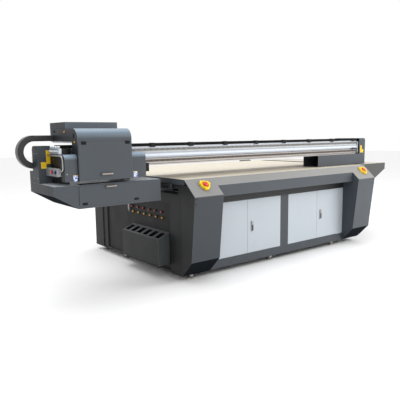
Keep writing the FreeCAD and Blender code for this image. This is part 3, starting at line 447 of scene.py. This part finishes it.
class Piece:
    """Simple solids gathered into one mesh."""

    def __init__(self, name):
        self.name = name
        self.bm = bmesh.new()

    def loop(self, points):
        """New vertices at some points, in order."""
        return [self.bm.verts.new(point) for point in points]

    def bridge(self, loops):
        """Faces from each closed loop of vertices to the next."""
        for first, second in zip(loops, loops[1:]):
            for i in range(len(first)):
                after = (i + 1) % len(first)
                self.bm.faces.new((first[i], first[after], second[after], second[i]))

    def bridge_capped(self, loops):
        """A closed skin: faces between the loops and over both ends."""
        self.bridge(loops)
        self.bm.faces.new(list(reversed(loops[0])))
        self.bm.faces.new(loops[-1])

    def lathe_loops(self, profile, place, axis, steps):
        """A round loop for each (radius, height) point, about an axis through a place."""
        shape = Matrix.Translation(place) @ facing(axis)
        angles = [2 * math.pi * step / steps for step in range(steps)]
        loops = []
        for radius, height in profile:
            points = [Vector((radius * math.cos(a), radius * math.sin(a), height)) for a in angles]
            loops.append(self.loop(shape @ point for point in points))
        return loops

    def block(self, low, high, bevel=0.0006):
        """A box between two corners, with its edges rounded."""
        low, high = Vector(low), Vector(high)
        size = high - low
        shape = Matrix.Translation((low + high) / 2) @ Matrix.Diagonal((*size, 1))
        self.shaped_block(shape, min(bevel, min(size) * 0.4), 2)

    def shaped_block(self, shape, bevel=0.0, segments=2):
        """A unit cube placed, turned and stretched by a matrix, with its edges rounded."""
        made = bmesh.ops.create_cube(self.bm, size=1, matrix=shape)["verts"]
        edges = {edge for vertex in made for edge in vertex.link_edges}
        if bevel:
            bmesh.ops.bevel(self.bm, geom=list(edges), offset=bevel, segments=segments,
                            affect="EDGES", profile=0.5)

    def turned(self, profile, place, axis="Z", steps=32):
        """A solid lathe shape: (radius, height) points turned about an axis through a place."""
        self.bridge_capped(self.lathe_loops(profile, place, axis, steps))

    def ring(self, profile, place, axis, steps=28):
        """A ring: a closed profile of (radius, height) points turned about an axis."""
        loops = self.lathe_loops(profile, place, axis, steps)
        self.bridge([*loops, loops[0]])

    def knob(self, place, axis, radius, height, chamfer=0.0008, steps=24):
        """A short round boss with a chamfered rim."""
        profile = [(radius, 0), (radius, height - chamfer), (radius - chamfer, height)]
        self.turned(profile, place, axis, steps)

    def plate(self, outline, axis, low, high):
        """A flat shape extruded along an axis; outline points are the other two coordinates in order."""
        loops = [self.loop(at_depth(point, axis, depth) for point in outline) for depth in (low, high)]
        self.bridge_capped(loops)

    def rim(self, outer, inner, axis, low, high):
        """A flat ring along an axis, between two outlines with the same number of points."""
        corners = ((outer, low), (outer, high), (inner, high), (inner, low))
        loops = [self.loop(at_depth(point, axis, depth) for point in outline) for outline, depth in corners]
        self.bridge([*loops, loops[0]])

    def made(self, material):
        """The finished object, with its material and its sharp edges."""
        bmesh.ops.recalc_face_normals(self.bm, faces=self.bm.faces)
        in_order(self.bm.verts, lambda vertex: tuple(vertex.co))
        in_order(self.bm.faces, lambda face: tuple(face.calc_center_median()))
        mesh = bpy.data.meshes.new(self.name)
        self.bm.to_mesh(mesh)
        self.bm.free()
        mesh.materials.append(material)
        mesh.shade_smooth()
        mesh.set_sharp_from_angle(angle=SHARP_EDGE)
        piece = bpy.data.objects.new(self.name, mesh)
        bpy.context.scene.collection.objects.link(piece)
        return piece

    def done(self, material, body):
        """The finished object, riding on its body."""
        piece = self.made(material)
        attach(piece, body)


def rounded(low, high, radius, steps=6):
    """A rectangle outline with rounded corners."""
    points = []
    corners = ((high[0], high[1], 0), (low[0], high[1], 1), (low[0], low[1], 2), (high[0], low[1], 3))
    for x, y, quarter in corners:
        centre_x = x - radius if quarter in (0, 3) else x + radius
        centre_y = y - radius if quarter in (0, 1) else y + radius
        for step in range(steps + 1):
            angle = (quarter + step / steps) * math.pi / 2
            points.append((centre_x + radius * math.cos(angle), centre_y + radius * math.sin(angle)))
    return points


def tube(name, points, radius, material, body):
    """A round bar along smooth points."""
    curve = bpy.data.curves.new(name, "CURVE")
    curve.dimensions = "3D"
    curve.bevel_depth = radius
    curve.bevel_resolution = 4
    curve.use_fill_caps = True
    spline = curve.splines.new("NURBS")
    spline.points.add(len(points) - 1)
    for point, place in zip(spline.points, points):
        point.co = (*place, 1)
    spline.order_u = 3
    spline.use_endpoint_u = True
    curve.materials.append(material)
    piece = bpy.data.objects.new(name, curve)
    bpy.context.scene.collection.objects.link(piece)
    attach(piece, body)


# ------------------------------------------------------------------ gantry details

SMALL_SCREW = {"radius": 0.004, "height": 0.0015, "chamfer": 0.0005, "steps": 12}
HEAD_COUNT = 6
HEAD_PITCH = 0.066


def beam_details():
    """Bolts of the guides, a white tape that stands in for a highlight line (a painted highlight), seams,
    grooves, clips, bumper, bracket and end plate.
    """
    low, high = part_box("x_rails")
    bolts = Piece("guide_bolts")
    pitch = 0.060
    for i in range(int((high.x - low.x) / pitch)):
        x = low.x + pitch / 2 + i * pitch
        for z in (low.z + 0.010, high.z - 0.010):
            bolts.knob((x, low.y + 0.0005, z), "-Y", 0.0048, 0.0012, 0.0004, 10)
    bolts.done(black_plastic, "gantry")
    track_low, track_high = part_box("magnet_track")
    front = track_low.y
    # A white strip along the top of the track stands in for a bright highlight line: a painted highlight.
    tape = Piece("highlight_tape")
    tape.block((low.x, front + 0.006, track_high.z + 0.004),
               (high.x, front + 0.0102, track_high.z + 0.013), 0.0004)
    tape.done(white_plastic, "gantry")
    seams = Piece("track_seams")
    lengths = 13
    for i in range(1, lengths):
        x = low.x + (high.x - low.x) * i / lengths
        seams.block((x - 0.0006, front - 0.0002, track_low.z),
                    (x + 0.0006, front + 0.001, track_high.z), 0)
    seams.done(steel, "gantry")
    beam_low, beam_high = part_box("beam")
    grooves = Piece("beam_grooves")
    for z in (beam_low.z + 0.012, track_low.z - 0.008):
        grooves.block((beam_low.x + 0.01, beam_low.y - 0.0006, z - 0.002),
                      (beam_high.x - 0.01, beam_low.y + 0.001, z + 0.002), 0)
    for z in (beam_low.z + 0.04, beam_high.z - 0.04):
        grooves.block((beam_low.x + 0.01, beam_high.y - 0.001, z - 0.004),
                      (beam_high.x - 0.01, beam_high.y + 0.0006, z + 0.004), 0)
    grooves.done(black_plastic, "gantry")
    strip_low, strip_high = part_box("cap_strip")
    clips = Piece("strip_clips")
    clip_count, clip_pitch = 9, 0.427
    for i in range(clip_count):
        x = beam_high.x - 0.090 - i * clip_pitch
        clips.block((x - 0.028, strip_low.y - 0.005, strip_low.z - 0.008),
                    (x + 0.028, strip_low.y + 0.001, strip_low.z + 0.012), 0.002)
        clips.block((x - 0.020, strip_low.y - 0.004, strip_low.z + 0.010),
                    (x + 0.020, strip_low.y + 0.030, strip_high.z + 0.004), 0.001)
    clips.done(black_plastic, "gantry")
    ends = Piece("beam_bumper")
    x = beam_high.x - 0.086
    ends.block((x - 0.018, low.y - 0.020, track_low.z - 0.012),
               (x + 0.018, beam_low.y - 0.001, track_low.z + 0.006), 0.003)
    ends.turned([(0.009, 0), (0.009, 0.010), (0.006, 0.014)],
                (x - 0.018, low.y - 0.010, track_low.z - 0.003), "-X")
    ends.done(rubber, "gantry")
    bracket = Piece("beam_bracket")
    bracket.block((beam_high.x - 0.012, low.y - 0.004, beam_low.z + 0.012),
                  (beam_high.x + 0.002, beam_low.y, beam_high.z - 0.02), 0.001)
    bracket.done(silver_block, "gantry")
    stop = Piece("beam_end_plate")
    stop.block((beam_low.x, low.y - 0.009, beam_low.z + 0.010),
               (beam_low.x + 0.079, beam_low.y, strip_low.z - 0.002), 0.002)
    stop.block((beam_low.x - 0.0007, beam_low.y, beam_low.z + 0.002),
               (beam_low.x + 0.001, beam_high.y - 0.135, beam_high.z - 0.002), 0.0003)
    stop.done(black_coat, "gantry")


def label_stack(name, x, y, z_low, z_high, body):
    """Two blank yellow labels side by side, one tall and one low, on a face that looks forwards."""
    wide = 0.030
    stack = Piece(name)
    stack.block((x, y - 0.0007, z_low), (x + wide, y + 0.0003, z_high), 0)
    stack.block((x + wide + 0.004, y - 0.0007, z_low),
                (x + 2.2 * wide, y + 0.0003, z_low + (z_high - z_low) * 0.45), 0)
    stack.done(yellow_label, body)


def end_details():
    """Fittings, ribs, button bezels, labels and screws on both ends of the gantry."""
    low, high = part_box("end_manifold")
    fittings = Piece("manifold_fittings")
    count, margin = 6, 0.018
    for i in range(count):
        y = low.y + margin + i * (high.y - low.y - 2 * margin) / (count - 1)
        fittings.turned([(0.006, 0), (0.006, 0.007), (0.008, 0.008), (0.008, 0.015), (0.005, 0.018)],
                        ((low.x + high.x) / 2, y, high.z - 0.0005), "Z", 16)
        fittings.turned([(0.007, 0), (0.007, 0.006), (0.005, 0.008)],
                        (low.x + 0.0005, y, (low.z + high.z) / 2), "-X", 16)
    fittings.done(silver_block, "gantry")
    box_low, box_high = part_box("control_box")
    face = box_low.x
    vents = Piece("control_box_ribs")
    rib_count, rib_pitch = 9, 0.0062
    for i in range(rib_count):
        z = box_low.z + 0.006 + i * rib_pitch
        vents.block((face - 0.0008, box_low.y + 0.13, z),
                    (face + 0.0005, box_high.y - 0.012, z + 0.0022), 0.0003)
    vents.done(steel, "gantry")
    bezels = Piece("button_bezels")
    for name in ("start_button", "reset_button"):
        cap_low, cap_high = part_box(name)
        place = (face + 0.0004, (cap_low.y + cap_high.y) / 2, (cap_low.z + cap_high.z) / 2)
        ring = [(0.0118, 0), (0.0155, 0), (0.0155, 0.0022), (0.0118, 0.0030)]
        bezels.ring(ring, place, "-X")
    bezels.done(black_plastic, "gantry")
    house_low, house_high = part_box("left_end_housing")
    front = house_low.y
    stack = Piece("housing_labels")
    for left, right, low_z, high_z in ((0.036, 0.002, 1.135, 1.245), (0.080, 0.037, 1.098, 1.150)):
        stack.block((house_high.x - left, front - 0.0007, low_z),
                    (house_high.x - right, front + 0.0003, high_z), 0)
    stack.done(yellow_label, "gantry")
    cover_low, cover_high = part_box("right_end_cover")
    label_stack("cover_labels", cover_low.x + 0.025, cover_low.y, 1.105, 1.196, "gantry")
    screws = Piece("end_screws")
    for x in (cover_low.x + 0.012, cover_high.x - 0.012):
        for y in (cover_low.y + 0.05, cover_high.y - 0.05):
            screws.knob((x, y, cover_high.z - 0.0003), "Z", **SMALL_SCREW)
    for y in (house_low.y + 0.03, house_low.y + 0.105):
        for z in (1.02, 1.22):
            screws.knob((house_low.x + 0.0003, y, z), "-X", 0.0045, 0.002, 0.0006, 12)
    screws.done(steel, "gantry")


def bow_handle(name, flap, body, start, length, rise):
    """A bent steel pull over the flap's bar, a given way from the flap's left and lower edges."""
    low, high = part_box(flap)
    left = low.x + start
    right = left + length
    z = low.z + rise
    back = high.y - 0.004
    reach = low.y + 0.0045
    points = [(left + 0.005, back, z), (left + 0.005, reach + 0.006, z), (left + 0.008, reach, z),
              (left + 0.03, reach, z), (right - 0.03, reach, z), (right - 0.008, reach, z),
              (right - 0.005, reach + 0.006, z), (right - 0.005, back, z)]
    tube(name, points, 0.0074, handle_steel, body)


def flap_hinges(name, places, y, z, leaf, body):
    """Black hinges along a flap's edge: a leaf of some height and the knuckle above it."""
    hinges = Piece(name)
    for x in places:
        hinges.block((x - 0.020, y - 0.0032, z - leaf), (x + 0.020, y + 0.0005, z - 0.001), 0.001)
        hinges.turned([(0.0042, 0), (0.0046, 0.001), (0.0046, 0.037), (0.0042, 0.038)],
                      (x - 0.019, y - 0.0035, z), "X", 16)
    hinges.done(black_plastic, body)


def station_details():
    """Hinges, pull and seams of the parking station, and the caps in its well."""
    low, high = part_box("station_flap")
    flap_hinges("station_hinges", (low.x + 0.045, high.x - 0.045), high.y - 0.004, low.z + 0.016, 0.013,
                "station_door")
    bow_handle("station_pull", "station_flap", "station_door", 0.222, 0.099, 0.138)
    caps_low, caps_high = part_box("cap_tray")
    lips = Piece("cap_lips")
    for i in range(HEAD_COUNT):
        x = caps_low.x + 0.035 + i * HEAD_PITCH
        y = (caps_low.y + caps_high.y) / 2
        outer = rounded((x - 0.027, y - 0.038), (x + 0.027, y + 0.038), 0.006)
        inner = rounded((x - 0.021, y - 0.033), (x + 0.021, y + 0.033), 0.004)
        lips.rim(outer, inner, Z, caps_high.z - 0.002, caps_high.z + 0.003)
    lips.done(rubber, "caps")
    case_low, case_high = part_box("station_case")
    seams = Piece("station_seams")
    x = case_low.x + 0.190
    seams.block((x - 0.0005, case_low.y - 0.0003, case_low.z + 0.002),
                (x + 0.0005, case_low.y + 0.001, case_high.z - 0.001), 0)
    seams.done(frame_coat, "gantry")
    rivets = Piece("station_screws")
    for x in (case_low.x + 0.05, case_high.x - 0.05):
        for y in (case_low.y + 0.06, case_high.y - 0.06):
            rivets.knob((x, y, case_high.z - 0.0003), "Z", **SMALL_SCREW)
    rivets.done(steel, "gantry")


# ------------------------------------------------------------------ carriage details

def carriage_details():
    """Hinges, pull, stickers, screws, lamps, seams and nozzle plates of the print carriage."""
    low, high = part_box("carriage_flap")
    flap_hinges("carriage_hinges", (low.x + 0.045, high.x - 0.036), high.y - 0.004, high.z + 0.005, 0.020,
                "carriage_door")
    bow_handle("carriage_pull", "carriage_flap", "carriage_door", 0.179, 0.104, 0.046)
    left_low, left_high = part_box("uv_lamp_left")
    right_low, right_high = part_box("uv_lamp_right")
    stickers = Piece("lamp_stickers")
    places = ((left_high.x - 0.037, left_low.z + 0.002), (right_low.x + 0.016, right_low.z + 0.004))
    for x, z in places:
        stickers.block((x, left_low.y - 0.0006, z), (x + 0.034, left_low.y + 0.0003, z + 0.044), 0)
    stickers.done(blue_sticker, "carriage")
    frames = Piece("sticker_borders")
    for x, z in places:
        frames.block((x - 0.002, left_low.y - 0.0004, z + 0.034),
                     (x + 0.036, left_low.y + 0.0002, z + 0.047), 0)
    frames.done(yellow_label, "carriage")
    screws = Piece("lamp_screws")
    front_screw = (left_low.x + 0.016, left_low.y + 0.0003, left_low.z + 0.059)
    screws.knob(front_screw, "-Y", 0.005, 0.002, 0.0006, 16)
    for lamp_low, lamp_high in ((left_low, left_high), (right_low, right_high)):
        for x in (lamp_low.x + 0.012, lamp_high.x - 0.012):
            screws.knob((x, lamp_high.y - 0.02, lamp_high.z - 0.0003), "Z", 0.0035, 0.0015, 0.0005, 12)
    screws.done(steel, "carriage")
    lenses = Piece("lamp_windows")
    for lamp_low, lamp_high in ((left_low, left_high), (right_low, right_high)):
        lenses.block((lamp_low.x + 0.009, lamp_low.y + 0.009, lamp_low.z + 0.006),
                     (lamp_high.x - 0.009, lamp_high.y - 0.009, lamp_low.z + 0.012), 0.001)
    lenses.done(blue_plastic, "carriage")
    cover_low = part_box("carriage_cover")[0]
    box_low, box_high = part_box("rear_box")
    side = cover_low.x
    marks = Piece("side_switches")
    marks.block((side - 0.003, cover_low.y + 0.066, 1.338),
                (side + 0.0005, cover_low.y + 0.080, 1.374), 0.001)
    marks.knob((box_low.x + 0.0005, box_low.y + 0.245, 1.395), "-X", 0.010, 0.005, 0.001, 20)
    marks.done(black_plastic, "carriage")
    lamps = Piece("side_lamps")
    lamps.turned([(0.008, 0), (0.008, 0.003), (0.006, 0.008), (0.003, 0.010)],
                 (box_low.x + 0.0005, box_low.y + 0.018, 1.389), "-X", 20)
    lamps.turned([(0.007, 0), (0.007, 0.003), (0.005, 0.007), (0.003, 0.009)],
                 (side + 0.0005, cover_low.y + 0.049, 1.310), "-X", 20)
    lamps.done(amber_plastic, "carriage")
    seams = Piece("box_seams")
    lid_low, lid_high = 1.4190, 1.4210
    seams.block((box_low.x - 0.0005, box_low.y + 0.001, lid_low),
                (box_low.x + 0.0005, box_high.y - 0.001, lid_high), 0)
    seams.block((box_low.x - 0.0005, box_low.y + 0.165, lid_high),
                (box_low.x + 0.0005, box_low.y + 0.167, box_high.z - 0.001), 0)
    seams.block((box_low.x + 0.001, box_high.y - 0.0005, lid_low),
                (box_high.x - 0.001, box_high.y + 0.0004, lid_high), 0)
    seams.done(black_plastic, "carriage")
    heads_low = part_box("print_heads")[0]
    nozzles = Piece("nozzle_plates")
    for i in range(HEAD_COUNT):
        x = heads_low.x + 0.019 + i * HEAD_PITCH
        nozzles.block((x + 0.005, heads_low.y + 0.021, heads_low.z - 0.0008),
                      (x + 0.037, heads_low.y + 0.057, heads_low.z + 0.001), 0.0004)
    nozzles.done(steel, "heads")


# ------------------------------------------------------------------ cable chain

def chain_details():
    """Link plates around the bend and along the lower run, and a smooth cover over the upper run."""
    low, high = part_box("chain_loop")
    upper_low, upper_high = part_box("chain_upper_run")
    radius_out = (high.z - low.z) / 2
    centre = Vector((low.x + radius_out, 0, low.z + radius_out))
    thick = upper_high.z - upper_low.z
    middle = radius_out - thick / 2
    links = Piece("chain_links")
    pitch = 0.030
    count = int(math.pi * middle / pitch)
    sides = (low.y - 0.0012, high.y - 0.0008)
    for i in range(count):
        turn = Matrix.Rotation(-math.pi * (i + 0.5) / count, 4, "Y")
        place = Matrix.Translation(centre) @ turn
        for y in sides:
            size = Matrix.Diagonal((0.024, 0.002, thick - 0.012, 1))
            links.shaped_block(place @ Matrix.Translation((0, y + 0.001, middle)) @ size)
        size = Matrix.Diagonal((0.008, high.y - low.y - 0.008, 0.002, 1))
        lift = Matrix.Translation((0, (low.y + high.y) / 2, radius_out - 0.0012))
        links.shaped_block(place @ lift @ size)
    x = centre.x + pitch / 2
    while x < high.x - pitch / 2:
        for y in sides:
            links.block((x - 0.012, y, low.z + 0.006),
                        (x + 0.012, y + 0.002, low.z + thick - 0.006), 0.0008)
        links.block((x - 0.004, low.y + 0.004, low.z + thick - 0.001),
                    (x + 0.004, high.y - 0.004, low.z + thick + 0.002), 0.0006)
        x += pitch
    links.done(chain_plastic, "chain")
    run = Piece("chain_upper_cover")
    steps = 24
    start, end = centre.x, upper_high.x
    ring = rounded((low.y, upper_low.z), (high.y, upper_high.z), 0.006, 4)
    loops = []
    for step in range(steps + 1):
        x = start + (end - start) * step / steps
        loops.append(run.loop((x, y, z) for y, z in ring))
    run.bridge_capped(loops)
    cover = run.made(chain_plastic)
    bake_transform(cover)
    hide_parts("chain_upper_run")


# ------------------------------------------------------------------ cabinet details

def slope_frame(x):
    """The place and turn of an emergency stop on the sloped trim."""
    cover_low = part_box("front_cover")[0]
    rise, run = 0.144, 0.159
    fascia_height, stop_inset = 0.031, 0.090
    y = cover_low.y + stop_inset
    z = cover_low.z + fascia_height + rise / run * stop_inset
    return Matrix.Translation((x, y, z)) @ Matrix.Rotation(math.atan2(rise, run), 4, "X")


def stop_details():
    """Guard horns, collars and arrows of the emergency stops."""
    for side in ("left", "right"):
        low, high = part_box(f"stop_button_{side}")
        shape = slope_frame((low.x + high.x) / 2)
        body = f"stop_{side}"
        horns = Piece(f"guard_horns_{side}")
        for angle in (20, 140, 260):
            turn = Matrix.Rotation(math.radians(angle), 4, "Z")
            size = Matrix.Diagonal((0.020, 0.040, 0.025, 1))
            horns.shaped_block(shape @ turn @ Matrix.Translation((0.047, 0, 0.0135)) @ size, 0.004, 3)
        horns.done(yellow_plastic, "base")
        collar = Piece(f"stop_collar_{side}")
        collar.ring([(0.0112, 0.0003), (0.033, 0.0003), (0.033, 0.004), (0.0112, 0.006)],
                    (0, 0, 0), shape, 32)
        collar.done(yellow_plastic, "base")
        arrows = Piece(f"stop_arrows_{side}")
        for first in (30, 210):
            arc(arrows, shape @ Matrix.Translation((0, 0, 0.0336)), 0.0125, 0.0165, first, first + 110)
        arrows.done(white_plastic, body)


def arc(piece, shape, inner, outer, start, end, steps=12):
    """A thin raised arc."""
    drop = Vector((0, 0, -0.0022))
    loops = []
    for step in range(steps + 1):
        angle = math.radians(start + (end - start) * step / steps)
        direction = Vector((math.cos(angle), math.sin(angle), 0))
        section = (direction * inner, direction * outer + drop * 0.9, direction * outer + drop * 1.4,
                   direction * inner + drop)
        loops.append(piece.loop(shape @ point for point in section))
    piece.bridge_capped(loops)


def lock_details():
    """A barrel and a grip on each door lock."""
    for number, body in ((1, "lock_one"), (2, "lock_two")):
        low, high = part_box(f"door_lock_{number}")
        x = high.x - 0.011
        z = high.z - 0.020
        barrel = Piece(f"lock_barrel_{number}")
        barrel.knob((x, low.y + 0.0003, z), "-Y", 0.007, 0.0022, 0.0006, 20)
        barrel.block((x - 0.0011, low.y - 0.0024, z - 0.004), (x + 0.0011, low.y - 0.001, z + 0.004), 0)
        barrel.done(steel, body)
        grip = Piece(f"lock_grip_{number}")
        grip.block((x - 0.0075, low.y - 0.0014, low.z + 0.032),
                   (x + 0.0075, low.y + 0.0004, high.z - 0.036), 0.0008)
        grip.done(black_plastic, body)


def cabinet_details():
    """Screws, hatch line, groove, bezels, bottle caps, bed stop and seams on the cabinet."""
    screws = Piece("pillar_screws")
    for side in ("left_pillar", "right_pillar"):
        side_low, side_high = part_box(side)
        x = side_low.x + 0.016 if side == "left_pillar" else side_high.x - 0.016
        for z, y in ((0.795, 0.0022), (0.750, 0.0068)):
            screws.knob((x, side_low.y + y, z), "-Y", 0.0065, 0.0022, 0.0006, 14)
    screws.done(black_plastic, "base")
    panel_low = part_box("ink_panel")[0]
    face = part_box("left_pillar")[0].x + 0.012
    back, front = face + 0.0004, face - 0.0008
    hatch = Piece("ink_hatch_line")
    outer = rounded((panel_low.y + 0.030, 0.100), (panel_low.y + 0.790, 0.545), 0.040)
    inner = rounded((panel_low.y + 0.034, 0.104), (panel_low.y + 0.786, 0.541), 0.036)
    hatch.rim(outer, inner, X, front, back)
    hatch.block((front, panel_low.y + 0.83, 0.085), (back, panel_low.y + 0.834, 0.715), 0)
    hatch.done(black_plastic, "base")
    groove = Piece("groove_strip")
    groove.block((front, panel_low.y + 1.313, 0.070), (back, panel_low.y + 1.411, 0.796), 0)
    groove.done(rubber, "base")
    bezels = Piece("lamp_bezels")
    lamps_low, lamps_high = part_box("ink_lamps")
    rows = ((lamps_low.y + 0.010, lamps_low.z + 0.010), (lamps_low.y + 0.025, lamps_high.z - 0.010))
    bezel = [(0.0102, 0), (0.0140, 0), (0.0132, 0.004), (0.0102, 0.005)]
    ink_count, lamp_pitch = 6, 0.112
    for start, z in rows:
        for i in range(ink_count):
            bezels.ring(bezel, (face, start + i * lamp_pitch, z), "-X", 20)
    bezels.done(black_plastic, "base")
    necks = Piece("bottle_caps")
    bottles_low, bottles_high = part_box("ink_bottles")
    margin = 0.034
    for i in range(ink_count):
        y = bottles_low.y + margin + i * (bottles_high.y - bottles_low.y - 2 * margin) / (ink_count - 1)
        place = ((bottles_low.x + bottles_high.x) / 2, y, bottles_high.z - 0.016)
        necks.knob(place, "Z", 0.021, 0.020, 0.002, 24)
    necks.done(black_plastic, "base")
    wedge = Piece("bed_stop")
    bed_low, bed_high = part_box("bed")
    wedge.plate([(bed_high.y - 0.030, bed_high.z - 0.0002), (bed_high.y - 0.001, bed_high.z - 0.0002),
                 (bed_high.y - 0.001, bed_high.z + 0.015)], X, bed_low.x + 2.375, bed_low.x + 2.590)
    wedge.done(frame_coat, "base")
    seam = Piece("cabinet_seams")
    side_low, side_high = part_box("left_side_panel")
    seam.block((side_low.x - 0.0004, side_high.y - 0.206, side_low.z + 0.002),
               (side_low.x + 0.0006, side_high.y - 0.203, side_low.z + 0.745), 0)
    seam.block((side_low.x - 0.0004, side_low.y + 0.0005, side_low.z + 0.002),
               (side_low.x + 0.0006, side_low.y + 0.0025, side_high.z - 0.002), 0)
    seam.done(black_plastic, "base")


# ------------------------------------------------------------------ stage

def make_stage():
    """Pale floor, white surroundings, two soft lights and the camera."""
    shader = Shader("pale_floor")
    grain = shader.noise(1.5, 3)
    tone = shader.mix(grain, (0.90, 0.90, 0.90), (0.93, 0.93, 0.93))
    floor_finish = shader.finish(tone, 0.8)
    mesh = bpy.data.meshes.new("floor")
    half = 30
    corners = [(x * half, y * half, -0.0005) for x, y in ((-1, -1), (1, -1), (1, 1), (-1, 1))]
    mesh.from_pydata(corners, [], [(0, 1, 2, 3)])
    mesh.materials.append(floor_finish)
    floor = bpy.data.objects.new("floor", mesh)
    bpy.context.scene.collection.objects.link(floor)
    world = bpy.data.worlds.new("studio")
    world.use_nodes = True
    world.node_tree.nodes["Background"].inputs["Color"].default_value = (1, 1, 1, 1)
    world.node_tree.nodes["Background"].inputs["Strength"].default_value = 1.0
    bpy.context.scene.world = world
    lit_point = Vector((0.3, 0, 0.6))
    lights = (("key", (4.5, -5.0, 4.2), 3.0, 260), ("top", (-1.0, 0.5, 5.0), 4.0, 120))
    for name, place, size, power in lights:
        light = bpy.data.lights.new(name, "AREA")
        light.size = size
        light.energy = power
        lamp = bpy.data.objects.new(name, light)
        bpy.context.scene.collection.objects.link(lamp)
        lamp.location = place
        aim = lit_point - Vector(place)
        lamp.rotation_euler = aim.to_track_quat("-Z", "Y").to_euler()
    data = bpy.data.cameras.new("camera")
    data.lens = 42.47
    data.sensor_width = 36
    camera = bpy.data.objects.new("camera", data)
    bpy.context.scene.collection.objects.link(camera)
    yaw, pitch, roll = math.radians(37.64), math.radians(7.76), math.radians(0.76)
    forward = Vector((math.sin(yaw) * math.cos(pitch), math.cos(yaw) * math.cos(pitch), -math.sin(pitch)))
    right = Vector((math.cos(yaw), -math.sin(yaw), 0))
    up = right.cross(forward)
    right_rolled = right * math.cos(roll) - up * math.sin(roll)
    up_rolled = right * math.sin(roll) + up * math.cos(roll)
    turn = Matrix((right_rolled, up_rolled, -forward)).transposed()
    viewpoint = (-3.506, -4.256, 1.346)
    camera.matrix_world = Matrix.Translation(viewpoint) @ turn.to_4x4()
    bpy.context.scene.camera = camera
    bpy.context.scene.view_settings.view_transform = "Standard"
    bpy.context.scene.view_settings.look = "None"


beam_details()
end_details()
station_details()
carriage_details()
chain_details()
stop_details()
lock_details()
cabinet_details()
make_stage()
